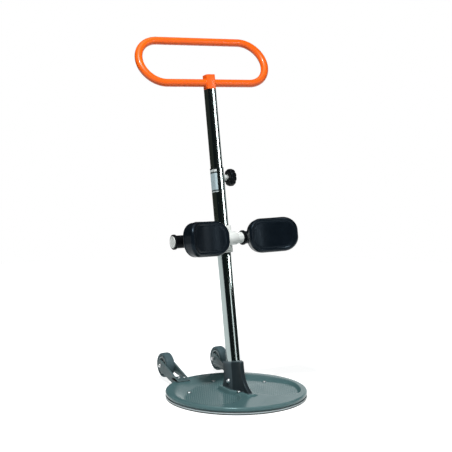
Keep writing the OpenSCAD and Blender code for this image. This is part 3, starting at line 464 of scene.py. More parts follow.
@dataclass(frozen=True)
class Finish:
    """A surface finish: a colour that drifts between two tones, a gloss that varies and a fine grain.

    Sizes of patterns are in millimetres. An edge tone, where there is one, shows along convex edges, partly
    as wear and partly as a painted highlight. A painted shade, where there is one, darkens hollow corners
    and recesses where less light reaches. The spans say where the noise, the open share of a corner and the
    sharpness of an edge take effect.
    """

    name: str
    colour: str
    drift: str
    drift_mm: float
    rough: Span
    grain_mm: float
    grain_depth: float
    metallic: float = 0.0
    ior: float = 1.5
    coat: float = 0.0
    coat_rough: float = 0.1
    gloss_tint: str = "#ffffff"
    edge_wear_and_highlight: str = ""
    edge_wear_and_highlight_most: float = 0.7
    painted_corner_shade: str = ""
    painted_corner_shade_mm: float = 20.0
    drift_detail: float = 3.0
    grain_detail: float = 2.0
    noise_span: Span = (0.3, 0.7)
    open_span: Span = (0.35, 0.95)
    edge_span: Span = (0.51, 0.57)

    def material(self) -> bpy.types.Material:
        """The finish's material, which is made the first time.

        Returns:
            The material.
        """
        made = bpy.data.materials.get(self.name)
        if made is None:
            made = bpy.data.materials.new(self.name)
            self.dress(emptied(made))
        return made

    def dress(self, tree: Tree) -> None:
        """Fills the node tree.

        Args:
            tree: empty node tree of the material.
        """
        place = add_node(tree, "TexCoord").outputs["Object"]
        patches = noise(tree, place, self.drift_mm, self.drift_detail)
        shader = add_node(tree, "BsdfPrincipled", {
            "Base Color": self.tone(tree, place, patches), "Metallic": self.metallic, "IOR": self.ior,
            "Roughness": mapped(tree, patches, self.noise_span, self.rough),
            "Normal": self.relief(tree, place), "Specular Tint": linear(self.gloss_tint),
            "Coat Weight": self.coat, "Coat Roughness": self.coat_rough})
        add_node(tree, "OutputMaterial", {"Surface": shader.outputs[0]})

    def tone(self, tree: Tree, place: Socket, patches: Socket) -> Socket:
        """Colour of the surface.

        Args:
            tree: node tree of the material.
            place: coordinates of the pattern, for finishes that use them.
            patches: noise that the colour drifts with.

        Returns:
            The colour's socket.
        """
        colour = tinted(tree, patches, linear(self.colour), self.drift)
        # Painted shade: ambient occlusion darkens hollow corners and recesses towards the shade tone, where
        # less light falls.
        if self.painted_corner_shade:
            corner = {"Distance": self.painted_corner_shade_mm * MM}
            open_share = add_node(tree, "AmbientOcclusion", corner, samples=8).outputs["AO"]
            share = mapped(tree, open_share, self.open_span, (1.0, 0.0))
            colour = tinted(tree, share, colour, self.painted_corner_shade)
        # Edge tone: lightens convex edges, partly as wear and partly as a painted highlight.
        if self.edge_wear_and_highlight:
            edge = add_node(tree, "NewGeometry").outputs["Pointiness"]
            share = mapped(tree, edge, self.edge_span, (0.0, self.edge_wear_and_highlight_most))
            colour = tinted(tree, share, colour, self.edge_wear_and_highlight)
        return colour

    def relief(self, tree: Tree, place: Socket) -> Socket:
        """Normal of the surface, with the grain in it."""
        return bumped(tree, noise(tree, place, self.grain_mm, self.grain_detail), self.grain_depth * MM)


def on_post(tree: Tree, place: Socket) -> list[Socket]:
    """Coordinates across, through and along the leaning post, in metres.

    Args:
        tree: node tree of the material.
        place: coordinates in the part's frame.

    Returns:
        The sockets of X, Y and Z.
    """
    c, s = cos_sin(POST_LEAN)
    start = (0.0, -(c * POST_Y - s * DECK) * MM, -(s * POST_Y + c * DECK) * MM)
    turn = (math.radians(POST_LEAN), 0, 0)
    turned = add_node(tree, "Mapping", {"Vector": place, "Location": start, "Rotation": turn}).outputs[0]
    return list(add_node(tree, "SeparateXYZ", {"Vector": turned}).outputs)


@dataclass(frozen=True)
class DrawnTube(Finish):
    """Plated square tube: its flats are a little crowned from drawing, so reflections bend across them."""

    crown: float = 0.5
    half: float = 12.5

    def relief(self, tree: Tree, place: Socket) -> Socket:
        """Normal of crowned flats: the height falls with the square of the distance from a flat's middle.

        Args:
            tree: node tree of the material.
            place: coordinates in the part's frame.

        Returns:
            The normal's socket.
        """
        x, y, _ = on_post(tree, place)
        square = worked(tree, "MULTIPLY_ADD", y, y, worked(tree, "MULTIPLY", x, x))
        fall = -self.crown / self.half ** 2 / MM
        return bumped(tree, worked(tree, "MULTIPLY", square, fall), 1.0)


@dataclass(frozen=True)
class BandedFoil(Finish):
    """Foil plate with a pale field between two dark lines and two bare strips."""

    bands: tuple[tuple[float, str], ...] = (
        (0.0, "#c3cfd0"), (0.045, "#24383c"), (0.105, "#b3c8ce"), (0.83, "#2a3b3e"), (0.895, "#cfd8d7"))

    def tone(self, tree: Tree, place: Socket, patches: Socket) -> Socket:
        """Colour of the band at each height.

        Args:
            tree: node tree of the material.
            place: coordinates in the part's frame.
            patches: noise of the gloss, which the colour doesn't use.

        Returns:
            The colour's socket.
        """
        low, high = LABEL
        share = mapped(tree, on_post(tree, place)[2], (low * MM, high * MM))
        ramp = add_node(tree, "ValToRGB", {"Fac": share})
        stops = ramp.color_ramp
        stops.interpolation = "CONSTANT"
        for i, (at, code) in enumerate(self.bands):
            stop = stops.elements[i] if i < len(stops.elements) else stops.elements.new(at)
            stop.position = at
            stop.color = linear(code)
        return ramp.outputs["Color"]


FINISHES: dict[Slot, Finish] = {
    # Moulded black rubber is dull and a little dusty.
    Slot.MAT_RUBBER: Finish("moulded_rubber_mat", "#0d0f10", "#15181a", 18, (0.7, 0.9), 0.8, 0.05),
    # Powder coat on sheet steel has a fine orange peel and a satin gloss.
    Slot.DISC_PAINT: Finish("powder_coated_steel_disc", "#b9c7c9", "#adbbbe", 40, (0.3, 0.4), 1.6, 0.02,
                            coat=0.15, coat_rough=0.3, edge_wear_and_highlight="#d0d8d9"),
    # Turned steel keeps a bright, slightly streaked skin.
    Slot.TURNED_STEEL: Finish("turned_steel", "#b4b8ba", "#9da2a5", 6, (0.22, 0.38), 0.7, 0.01,
                              metallic=1.0),
    # Zinc plate on screws is bright with a faint blue haze.
    Slot.SCREW_ZINC: Finish("zinc_plated_screw", "#dfe4e6", "#cbd1d4", 4, (0.36, 0.48), 0.6, 0.01,
                            metallic=1.0),
    # Glass-filled nylon, injection moulded: an eroded mould leaves a fine even grain and a soft gloss. A
    # painted shade darkens its hollow corners and recess walls.
    Slot.PLATE_PLASTIC: Finish("moulded_nylon_plate", "#547476", "#4d6c6f", 55, (0.2, 0.27), 1.1, 0.02,
                               ior=1.55, gloss_tint="#c4e8ea", edge_wear_and_highlight="#7f9698", painted_corner_shade="#2b3a3c", painted_corner_shade_mm=9),
    # Acetal is milky and slippery.
    Slot.GLIDE_PLASTIC: Finish("machined_acetal", "#dddcd6", "#d2d1ca", 12, (0.35, 0.5), 0.9, 0.02),
    # Sintered bronze is open-pored and oily.
    Slot.BUSH_BRONZE: Finish("sintered_bronze", "#a9814f", "#8f6c41", 2, (0.4, 0.55), 0.5, 0.02,
                             metallic=1.0),
    # Dark moulded nylon with a satin skin, scuffed a little at its edges; its light edge tone is also a
    # painted highlight along the nose and corners.
    Slot.PEDESTAL_PLASTIC: Finish("moulded_nylon_pedestal", "#262f33", "#21292d", 45, (0.36, 0.48),
                                  1.1, 0.03, ior=1.38, gloss_tint="#9fb2b8", edge_wear_and_highlight="#7d8e95"),
    # Bright chrome on drawn tube mirrors the room in long strips.
    Slot.POST_CHROME: DrawnTube("chrome_plated_tube", "#9aa6a5", "#929e9d", 60, (0.05, 0.08), 1.0, 0.0,
                                metallic=1.0),
    # Black nylon with a fine moulded grain.
    Slot.BLACK_PLASTIC: Finish("moulded_nylon_black", "#060709", "#0a0c0f", 20, (0.38, 0.48), 0.9, 0.02,
                               ior=1.3, gloss_tint="#8d9fab", edge_wear_and_highlight="#191d20"),
    # Pale grey acetal, turned.
    Slot.PALE_PLASTIC: Finish("turned_acetal_pale", "#d4dad8", "#c9d0ce", 10, (0.3, 0.42), 0.8, 0.02),
    # Printed aluminium foil under a clear film.
    Slot.PLATE_FOIL: BandedFoil("printed_aluminium_foil", "#9fb4ba", "#9fb4ba", 8, (0.3, 0.4), 1.0, 0.005,
                                coat=0.3, coat_rough=0.15),
    # Grey moulded nylon, as on the plate but a tone darker.
    Slot.FORK_PLASTIC: Finish("moulded_nylon_fork", "#4b6164", "#44595c", 25, (0.4, 0.55), 1.0, 0.04,
                              edge_wear_and_highlight="#8a9a9b"),
    # Orange powder coat on bent steel tube: glossy, with a slow orange peel.
    Slot.HANDLE_PAINT: Finish("powder_coated_steel_orange", "#f4650c", "#ee5d0a", 30, (0.34, 0.44),
                              2.2, 0.006, ior=1.4, coat=0.22, coat_rough=0.14),
    # White acetal, moulded, with a dry gloss.
    Slot.WHITE_PLASTIC: Finish("moulded_acetal_white", "#eff3f0", "#e6ebe8", 25, (0.35, 0.48), 0.9, 0.03),
    # Polyurethane foam with its own moulded skin: smooth, leathery and softly shining.
    Slot.PAD_SKIN: Finish("moulded_polyurethane_skin", "#090f15", "#0c141b", 30, (0.28, 0.36), 1.3, 0.03,
                          ior=1.37, gloss_tint="#a6bfd2"),
    # Grey moulded nylon hub.
    Slot.HUB_PLASTIC: Finish("moulded_nylon_hub", "#61777a", "#586d70", 14, (0.42, 0.55), 0.9, 0.03,
                             edge_wear_and_highlight="#9aa8aa"),
    # Grey non-marking rubber, pressed.
    Slot.WHEEL_RUBBER: Finish("pressed_grey_rubber", "#486066", "#41575d", 12, (0.6, 0.8), 0.9, 0.06),
}


@dataclass
class LabelPlate:
    """The plain foil plate on the post, folded from its left-hand face to the front."""

    corner: float = 5.0
    width: float = 30.0
    fold: float = 7.0
    thick: float = 0.6
    cut: float = 0.25
    bend_steps: int = 13

    def build(self) -> None:
        """Makes the plate: a thin section carried along the left-hand face and round to the front."""
        half, thin = POST_W / 2, self.thick / 2
        bend = circle(arc(180, 270, self.bend_steps))
        start = [[-half - thin, self.width - half]]
        end = [[self.fold - half, -half - thin]]
        line = np.concatenate([start, self.corner - half + (self.corner + thin) * bend, end])
        out = np.concatenate([bend[:1], bend, bend[-1:]])
        foil = sweep(lifted(line), lifted(out), UP, soft_rectangle((-thin, thin), LABEL, self.cut))
        make_piece("label_plate", [post_axes().patch(capped(foil))], Slot.PLATE_FOIL, "turntable")


@dataclass
class Pedestal:
    """The moulded socket of the post: a boat-shaped outline that flares out towards its foot."""

    height: float = 88.0
    half: float = 22.0
    nose: float = 56.0
    nose_flare: float = 40.0
    nose_w: float = 13.0
    nose_round: float = 2.6
    side_flare: float = 3.0
    rear_flare: float = 10.0
    rear_wall: float = 11.0
    shoulder: float = 20.0
    corner: float = 5.0
    boss_h: float = 4.0
    flank_power: float = 2.2
    nose_crowd: float = 2.2
    bore: float = 35.1
    bore_from: float = 13.0
    bore_power: float = 10.0
    wall_share: float = 0.975
    wall_crowd: float = 1.3
    edge: float = 1.6
    edge_rise: tuple[float, ...] = (0.982, 0.991, 0.997, 1.0)
    edge_inset: tuple[float, ...] = (0.06, 0.28, 0.6, 1.0)
    steps: int = 36
    corner_steps: int = 9
    back_steps: int = 5

    def half_width(self, forward: Points, reach: Points, half: Points, nose_half: Points) -> Points:
        """Half-width at a distance in front of the post: full at the shoulder and narrow at the nose."""
        share = np.clip((reach - forward) / (reach - self.shoulder), 0, 1)
        return nose_half + (half - nose_half) * share ** self.flank_power

    def outlines(self, t: Points, inset: Points) -> Points:
        """Outlines at shares t of the height.

        With q = 1 - t the nose reaches nose + nose_flare q^4, and the sides and the back are wider by their
        flare times q^3. The foot follows the level plate and the top is square to the post.

        Args:
            t: shares of the height.
            inset: how far each outline is drawn in.

        Returns:
            A grid of points in the post's frame, with a row for each share.
        """
        t, inset = t[:, None], inset[:, None]
        q = 1 - t
        reach = self.nose + self.nose_flare * q ** 4 - inset
        half = self.half + self.side_flare * q ** 3 - inset
        rear = self.half + self.rear_wall + self.rear_flare * q ** 3 - inset
        forward = reach - (reach - self.shoulder) * np.linspace(0, 1, self.steps) ** self.nose_crowd
        tip = np.clip((forward - reach + self.nose_round) / self.nose_round, 0, 1)
        flank = self.half_width(forward, reach, half, self.nose_w / 2 - inset) * np.sqrt(1 - tip ** 2)
        a = arc(0, 90, self.corner_steps)
        corner_x = half - self.corner + self.corner * np.cos(a)
        corner_y = -(rear - self.corner) - self.corner * np.sin(a)
        back_x = (half - self.corner) * np.linspace(1, 0, self.back_steps)[1:]
        x = np.concatenate([flank, corner_x, back_x], axis=1)
        v = np.concatenate([forward, corner_y, np.broadcast_to(-rear, back_x.shape)], axis=1)
        x = np.concatenate([x, -x[:, -2:0:-1]], axis=1)
        y = -np.concatenate([v, v[:, -2:0:-1]], axis=1)
        c, s = cos_sin(POST_LEAN)
        return joined(x, y, (self.boss_h + y * s) / c * q + self.height * t)

    def bore_ring(self, rim: Points, s: float) -> Points:
        """Ring of the square bore below the points of a rim: a square with soft corners, by angle.

        Args:
            rim: points of the rim.
            s: height of the ring up the post.

        Returns:
            A row of points.
        """
        way = circle(np.arctan2(rim[:, 1], rim[:, 0]))
        size = self.bore / 2 / (np.abs(way) ** self.bore_power).sum(axis=-1) ** (1 / self.bore_power)
        return lifted(size[:, None] * way, s)[None]

    def build(self) -> None:
        """Makes the socket as one closed skin: foot, flanks, eased top edge, bore."""
        rise = np.linspace(0, 1, self.steps)[:-1] ** self.wall_crowd * self.wall_share
        wall = self.outlines(rise, np.zeros_like(rise))
        edge = self.outlines(np.array(self.edge_rise), self.edge * np.array(self.edge_inset))
        bore = [self.bore_ring(edge[-1], s) for s in (self.height, self.bore_from)]
        skin = capped(np.concatenate([wall, edge, *bore]))
        make_piece("pedestal", [post_axes().patch(skin)], Slot.PEDESTAL_PLASTIC, "turntable", angle=50.0)


@dataclass
class Turntable:
    """Footplate with its foot recess, grip studs and raised middle, and the base disc under it.

    The chamfer is a width and a height. The dish is the wall's width in front and behind, and dish_y where
    these are reached. The hollow is a place across, a place to the front and a radius. The seat is the
    half-width and the front of a fork's land. The disc is its underside, its top and its bore.
    """

    pedestal: Pedestal
    rim_in: float = 207.0
    rim_round: float = 5.0
    rim_from: float = 15.0
    rim_steps: int = 6
    under: float = 9.5
    chamfer: Span = (2.5, 4.5)
    edge_cut: float = 0.8
    recess: float = 8.0
    recess_blend: float = 0.1
    slope: float = 10.0
    dish: Span = (14.0, 76.0)
    dish_y: Span = (-30.0, 100.0)
    hollow: Triple = (118.0, 50.0, 92.0)
    hollow_blend: float = 4.0
    boss_margin: float = 14.0
    boss_edge: float = 7.0
    boss_blend: float = 9.0
    seat: Span = (24.2, 161.0)
    seat_edge: float = 1.5
    bore: float = 19.3
    rings: int = 136
    sides: int = 400
    stud_pitch: float = 7.0
    stud_r: float = 2.0
    stud_h: float = 0.4
    stud_root: float = 0.3
    stud_flat: float = 0.62
    stud_shoulder: float = 0.2
    stud_sides: int = 6
    stud_depth: float = 0.95
    stud_clear: float = 4.0
    screw_r: float = 150.0
    screw_angles: Triple = (22.0, 90.0, 158.0)
    screw_clear: float = 9.0
    disc: Triple = (3.0, 6.5, 22.3)
    disc_edge: float = 1.4
    disc_sides: int = 256

    def recess_share(self, x: Points, y: Points) -> Points:
        """Depth of the recess, from 0 on the rim to 1 on the floor.

        It is the lesser of two eased distances: inside the rim's circle, over the width of the dish, which
        grows from the front to the rear, and inside the back half or a round hollow, over the slope of the
        wall. Level lands are left under the wheel forks.

        Args:
            x: places across.
            y: places to the rear.

        Returns:
            The share of the depth at each place.
        """
        hollow_x, hollow_y, hollow_r = self.hollow
        round_part = hollow_r - np.hypot(np.abs(x) - hollow_x, y + hollow_y)
        from_front = ease(soft_max(y + hollow_y, round_part, self.hollow_blend) / self.slope)
        (narrow, wide), (first, last) = self.dish, self.dish_y
        width = narrow + (wide - narrow) * ease((y - first) / (last - first))
        from_rim = ease((self.rim_in - np.hypot(x, y)) / width)
        half, front = self.seat
        beside = half - np.abs(np.abs(x) - WHEEL_X)
        land = ease(beside / self.seat_edge) * ease((y - front) / self.seat_edge)
        return np.maximum(soft_min(from_front, from_rim, self.recess_blend), 0) * (1 - land)

    def boss_inside(self, x: Points, y: Points) -> Points:
        """Distance inside the raised middle, which is the pedestal's foot grown by its margin.

        Args:
            x: places across.
            y: places to the rear.

        Returns:
            The distance at each place, below 0 outside.
        """
        p = self.pedestal
        forward = POST_Y - y
        reach, half, rear = p.nose + p.nose_flare, p.half + p.side_flare, p.half + p.rear_wall + p.rear_flare
        side = p.half_width(forward, reach, half, p.nose_w / 2) + self.boss_margin - np.abs(x)
        ends = np.minimum(reach + self.boss_margin - forward, rear + self.boss_margin + forward)
        return soft_min(side, ends, self.boss_blend)

    def top(self, x: Points, y: Points) -> Points:
        """Height of the plate's upper side: rim level less the recess, raised at the middle."""
        level = DECK - self.recess * self.recess_share(x, y)
        return level + (DECK + self.pedestal.boss_h - level) * ease(self.boss_inside(x, y) / self.boss_edge)

    def build_plate(self) -> None:
        """Makes the plate: a polar grid of heights, closed by rounded rim, underside and bore.

        The rim is an arc of its round, from where it leaves the grid to its side.
        """
        a = round_angles(self.sides)
        r = np.linspace(self.bore, PLATE_R - self.rim_round, self.rings)[:, None]
        x, y = r * np.cos(a), r * np.sin(a)
        upper = joined(x, y, self.top(x, y))
        turn = arc(self.rim_from, 90, self.rim_steps)
        rim = [PLATE_R, DECK] - self.rim_round * (1 - joined(np.sin(turn), np.cos(turn)))
        cut_r, cut_z = self.chamfer
        edge = soft_corners([rim[-1], [PLATE_R, self.under + cut_z], [PLATE_R - cut_r, self.under],
                             [self.bore, self.under]], self.edge_cut)
        lower = revolve(np.concatenate([rim, edge]), self.sides)
        skin = FLOOR.patch(np.concatenate([upper, lower]), wrap_rows=True)
        make_piece("footplate", [skin], Slot.PLATE_PLASTIC, "turntable", angle=40.0)

    def build_studs(self) -> None:
        """Makes the grip studs: low six-sided domes in a staggered pattern on the recess floor."""
        count = int(self.rim_in / self.stud_pitch) + 1
        steps = np.arange(-count, count + 1)
        i, j = np.meshgrid(steps, steps, indexing="ij")
        x = (i + 0.5 * (j % 2)).ravel() * self.stud_pitch
        y = j.ravel() * self.stud_pitch * math.sqrt(0.75)
        screws = self.screw_r * circle(np.radians(self.screw_angles))
        keep = (self.recess_share(x, y) > self.stud_depth) & (self.boss_inside(x, y) < -self.stud_clear)
        keep &= np.hypot(x - screws[:, :1], y - screws[:, 1:]).min(axis=0) > self.screw_clear
        places = joined(x[keep], y[keep], DECK - self.recess)
        r, h = self.stud_r, self.stud_h
        profile = np.array([[0, -self.stud_root], [r, -self.stud_root], [r, self.stud_shoulder * h],
                            [self.stud_flat * r, h], [0, h]])
        studs = Patch.many(revolve(profile, self.stud_sides) + places[:, None, None])
        make_piece("grip_studs", [studs], Slot.PLATE_PLASTIC, "turntable", angle=60.0, extra=True)

    def build(self) -> None:
        """Makes the plate, its studs and the disc, a flat ring with an eased outer edge."""
        self.build_plate()
        self.build_studs()
        low, high, inner = self.disc
        profile = soft_rectangle((inner, PLATE_R), (low, high), self.disc_edge)
        make_piece("base_disc", [FLOOR.turned(profile, self.disc_sides)], Slot.DISC_PAINT, "base")


@dataclass
class Handle:
    """Flat-oval loop of painted tube on a square socket."""

    bar_s: float = 982.5
    tilt: float = 21.0
    tube_r: float = 12.5
    tube_sides: int = 40
    half: float = 150.0
    bend: float = 79.0
    bar_steps: int = 40
    bend_steps: int = 48
    socket: Span = (962.0, 1009.0)
    socket_w: float = 30.5
    socket_round: float = 3.2
    socket_steps: int = 7
    socket_cut: float = 1.0
    top_ledge: float = 3.0
    spigot_w: float = 27.3
    spigot_l: float = 40.0
    weld_r: float = 1.7
    weld_sides: int = 64

    def loop_path(self) -> tuple[Points, Points]:
        """Two bars and two half circles.

        Returns:
            The points of the loop's axis and their outward directions.
        """
        bar = np.linspace(-self.half, self.half, self.bar_steps)
        right = self.bend * circle(arc(-90, 90, self.bend_steps)[1:-1]) + [self.half, self.bend]
        flat = np.concatenate([joined(bar, 0.0), right, joined(-bar, 2 * self.bend), right[::-1] * [-1, 1]])
        hub = joined(np.clip(flat[:, 0], -self.half, self.half), self.bend)
        return upright(flat), upright((flat - hub) / self.bend)

    def build_socket(self) -> None:
        """Makes the socket: round-cornered squares up the post, narrow in the tube and eased at the top."""
        low, high = self.socket
        half, thin = self.socket_w / 2, self.spigot_w / 2
        line = soft_corners([[thin, low - self.spigot_l], [thin, low], [half, low], [half, high],
                             [half - self.top_ledge, high]], self.socket_cut)
        square = soft_rectangle((-1, 1), (-1, 1), self.socket_round / half, self.socket_steps)
        rings = capped(lifted(square * line[:, :1, None], line[:, 1:]))
        make_piece("handle_socket", [post_axes().patch(rings)], Slot.HANDLE_PAINT, "mast")

    def build(self) -> None:
        """Makes the loop, the socket with its spigot, and the weld beads between them."""
        axes = post_axes(self.bar_s)
        ring = circle(round_angles(self.tube_sides))
        tube = sweep(*self.loop_path(), TO_REAR, self.tube_r * ring)
        loop = axes.tilted(self.tilt).patch(tube, wrap_rows=True)
        make_piece("handle_loop", [loop], Slot.HANDLE_PAINT, "mast")
        self.build_socket()
        bead = self.weld_r * ring + [self.tube_r, 0]
        ends = [axes.facing_side(side).moved(z=self.socket_w / 2) for side in Side]
        beads = [end.turned(bead, self.weld_sides) for end in ends]
        make_piece("handle_weld", beads, Slot.HANDLE_PAINT, "mast", extra=True)


@dataclass
class HandClamp:
    """A fluted knob on a conical neck that works a clamp screw; shares are of the knob's own sizes."""

    axes: Axes
    body: str
    knob_node: str
    neck_node: str
    knob_d: float
    knob_t: float
    knob_from: float
    neck: Span
    neck_from: float
    stud_d: float
    gap: float = 0.05
    flutes: int = 10
    flute_h: float = 2.2
    flute_share: float = 0.1
    flute_miss: float = 2.0
    flute_blend: float = 0.8
    flute_start: float = 0.62
    flute_fade: float = 0.3
    edge_share: float = 0.364
    edge_steps: int = 9
    dish: Span = (0.3, 0.24)
    dish_depth: float = 1.0
    bore_share: float = 0.7
    neck_cut: float = 1.2
    sides: int = 200

    def limit(self, a: Points) -> Points:
        """Radius of the fluted rim: the full one, or the near side of a flute's circle where that is less.

        A circle of radius f about a point c away is met at c cos b - sqrt(ff - cc sin b sin b), with b the
        angle from the flute's middle.

        Args:
            a: angles round the knob.

        Returns:
            The radius at each angle.
        """
        full, f = self.knob_d / 2, self.knob_d * self.flute_share
        c = full + f - self.flute_h
        pitch = 2 * np.pi / self.flutes
        b = np.mod(a, pitch) - pitch / 2
        under = f * f - (c * np.sin(b)) ** 2
        near = c * np.cos(b) - np.sqrt(np.maximum(under, 0))
        met = np.where(under > 0, near, full + self.flute_miss)
        return soft_min(met, np.full_like(a, full), self.flute_blend)

    def build_knob(self, bore: float) -> None:
        """Makes the knob: rings of the turned profile, drawn in at the flutes towards the rim.

        Args:
            bore: radius of the screw's bore.
        """
        full, t = self.knob_d / 2, self.knob_t
        deep, floor = self.bore_share * t, t - self.dish_depth
        outer, inner = (self.knob_d * share for share in self.dish)
        line = soft_corners([[0, deep], [bore, deep], [bore, 0], [full, 0], [full, t], [outer, t],
                             [inner, floor], [0, floor]], self.edge_share * t, self.edge_steps)
        radius = line[:, :1]
        weight = np.clip((radius / full - self.flute_start) / self.flute_fade, 0, 1)
        cut = full - self.limit(round_angles(self.sides))
        rings = revolve(line, self.sides)
        rings[..., :2] *= (1 - cut * weight / np.maximum(radius, TINY))[..., None]
        knob = self.axes.moved(z=self.knob_from).patch(rings)
        make_piece(self.knob_node, [knob], Slot.BLACK_PLASTIC, self.body, angle=45.0)

    def build(self) -> None:
        """Makes the knob and its neck, a ring with a conical outside and eased edges."""
        bore = self.stud_d / 2 + self.gap
        self.build_knob(bore)
        near, far = self.neck
        line = soft_corners([[bore, self.neck_from], [near / 2, self.neck_from], [far / 2, self.knob_from],
                             [bore, self.knob_from]], self.neck_cut, closed=True)
        make_piece(self.neck_node, [self.axes.turned(line)], Slot.PALE_PLASTIC, self.body)


@dataclass
class ShinCarriage:
    """White carriage on the post, with the ribbed cross rod that carries the pads.

    A rib's foot is its spread and the width of its fall. A cap's lip is its width, the edge of the hollow
    inside it and the hollow's depth. The stub is a radius and a length.
    """

    rod_reach: float = 45.0
    rod_r: float = 16.0
    rod_bore: float = 12.0
    rod_half: float = 201.3
    rib_h: float = 1.5
    rib_w: float = 2.4
    rib_foot: Span = (0.5, 0.9)
    ribs: int = 5
    bare: Span = (22.8, 43.7)
    bare_steps: int = 140
    end_steps: int = 4
    cap_r: float = 18.5
    cap_t: float = 2.0
    cap_lip: Triple = (4.0, 5.0, 0.7)
    cap_round: float = 1.1
    wall: float = 5.0
    wall_cut: float = 1.4
    inner: float = 17.8
    height: float = 86.0
    bend: float = 4.0
    bend_steps: int = 9
    boss_r: float = 21.0
    boss_gap: float = 0.05
    boss_cut: float = 1.5
    bridge_share: float = 0.8
    overlap: float = 1.0
    cover_cut: float = 1.2
    cover_steps: tuple[int, int] = (17, 33)
    stub: Span = (8.8, 7.0)
    stub_bore: float = 4.05
    stub_cut: float = 0.8
    stub_sides: int = 64

    @property
    def out(self) -> float:
        """Half of the carriage's width, which is also the place of its rear face."""
        return self.inner + self.wall

    def rod_axes(self) -> Axes:
        """Frame in the middle of the rod, with local Z up the post."""
        return post_axes(ROD_S).moved(y=-self.rod_reach)

    def build_rod(self) -> None:
        """Makes the rod, a turned tube whose radius follows a row of round ribs, and its two end caps."""
        first, last = self.bare
        half = np.concatenate([np.linspace(first, last, self.bare_steps),
                               np.linspace(last, self.rod_half, self.end_steps)[1:]])
        h = np.concatenate([-half[::-1], half])
        step = (last - first) / self.ribs
        away = np.abs(np.mod((np.abs(h) - first) / step, 1) - 0.5) * step
        spread, fall = self.rib_foot
        rib = self.rib_h * ease((self.rib_w / 2 + spread - away) / fall)
        bare = (np.abs(h) > first) & (np.abs(h) < last)
        outside = joined(self.rod_r + np.where(bare, rib, 0), h)
        inside = [[self.rod_bore, self.rod_half], [self.rod_bore, -self.rod_half]]
        rod = self.rod_axes().facing_side(Side.RIGHT).turned(np.concatenate([outside, inside]))
        make_piece("cross_rod", [rod], Slot.WHITE_PLASTIC, "carriage", angle=60.0)
        lip, hollow, depth = self.cap_lip
        floor = self.cap_t - depth
        cap = soft_corners([[0, 0], [self.cap_r, 0], [self.cap_r, self.cap_t],
                            [self.cap_r - lip, self.cap_t], [self.cap_r - hollow, floor], [0, floor]],
                           self.cap_round)
        ends = [self.rod_axes().facing_side(side).moved(z=self.rod_half) for side in Side]
        caps = [end.turned(cap, wrap_rows=False) for end in ends]
        make_piece("rod_end_caps", caps, Slot.WHITE_PLASTIC, "carriage")

    def build_body(self) -> None:
        """Makes the body: a wall carried round three sides of the post, the rod's boss and its bridge."""
        mid, top, out = self.inner + self.wall / 2, self.height / 2, self.out
        path = soft_corners([[mid, self.inner], [mid, -mid], [-mid, -mid], [-mid, self.inner]],
                            self.bend, self.bend_steps)
        path = path[np.insert(np.linalg.norm(np.diff(path, axis=0), axis=1) > TINY, 0, True)]
        way = np.gradient(path, axis=0)
        way /= np.linalg.norm(way, axis=1, keepdims=True)
        section = soft_rectangle((-self.wall / 2, self.wall / 2), (-top, top), self.wall_cut)
        shell = capped(sweep(lifted(path), joined(way[:, 1], -way[:, 0], 0.0), UP, section))
        boss = soft_rectangle((self.rod_r + self.boss_gap, self.boss_r), (-out, out), self.boss_cut)
        rise = self.bridge_share * self.boss_r
        bridge = soft_box((-out, self.rod_r + self.overlap - self.rod_reach, -rise),
                          (out, -self.inner - self.overlap, rise), self.boss_cut)
        axes = post_axes(ROD_S)
        turned = self.rod_axes().facing_side(Side.RIGHT).turned(boss)
        patches = [axes.patch(shell), turned, axes.patch(bridge)]
        make_piece("carriage_body", patches, Slot.WHITE_PLASTIC, "carriage")

    def cover_grid(self) -> Points:
        """Plate behind the post, with the clamp screw's bore through it.

        A rectangle's outline is carried from the bore over the front face, round the eased edge and back to
        the bore over the rear face. Its inset follows the edge, and the bore is the outline drawn in to a
        circle.

        Returns:
            A closed grid whose rows run from the bore to the bore.
        """
        out, top = self.out, self.height / 2
        wide, tall = (np.linspace(-h, h, n)[:-1] for h, n in zip((out, top), self.cover_steps))
        half = np.concatenate([joined(wide, -top), joined(out, tall)])
        outline = np.concatenate([half, -half])
        edge = soft_span(self.inner, out, self.wall, self.cover_cut)
        flat = outline * (1 - edge[:, :1, None] / [out, top])
        bore = self.stub_bore * outline[None] / np.linalg.norm(outline, axis=-1, keepdims=True)
        depth = np.concatenate([[self.inner], edge[:, 1], [out]])
        return upright(np.concatenate([bore, flat, bore]), depth[:, None])

    def build(self) -> None:
        """Makes the rod, the body, and the cover with the stub that guides its clamp."""
        self.build_rod()
        self.build_body()
        radius, length = self.stub
        stub = soft_rectangle((self.stub_bore, radius), (self.out - self.overlap, self.out + length),
                              self.stub_cut)
        axes = post_axes(ROD_S)
        patches = [axes.patch(self.cover_grid(), wrap_rows=True),
                   axes.facing_back().turned(stub, self.stub_sides)]
        make_piece("carriage_cover", patches, Slot.WHITE_PLASTIC, "carriage")


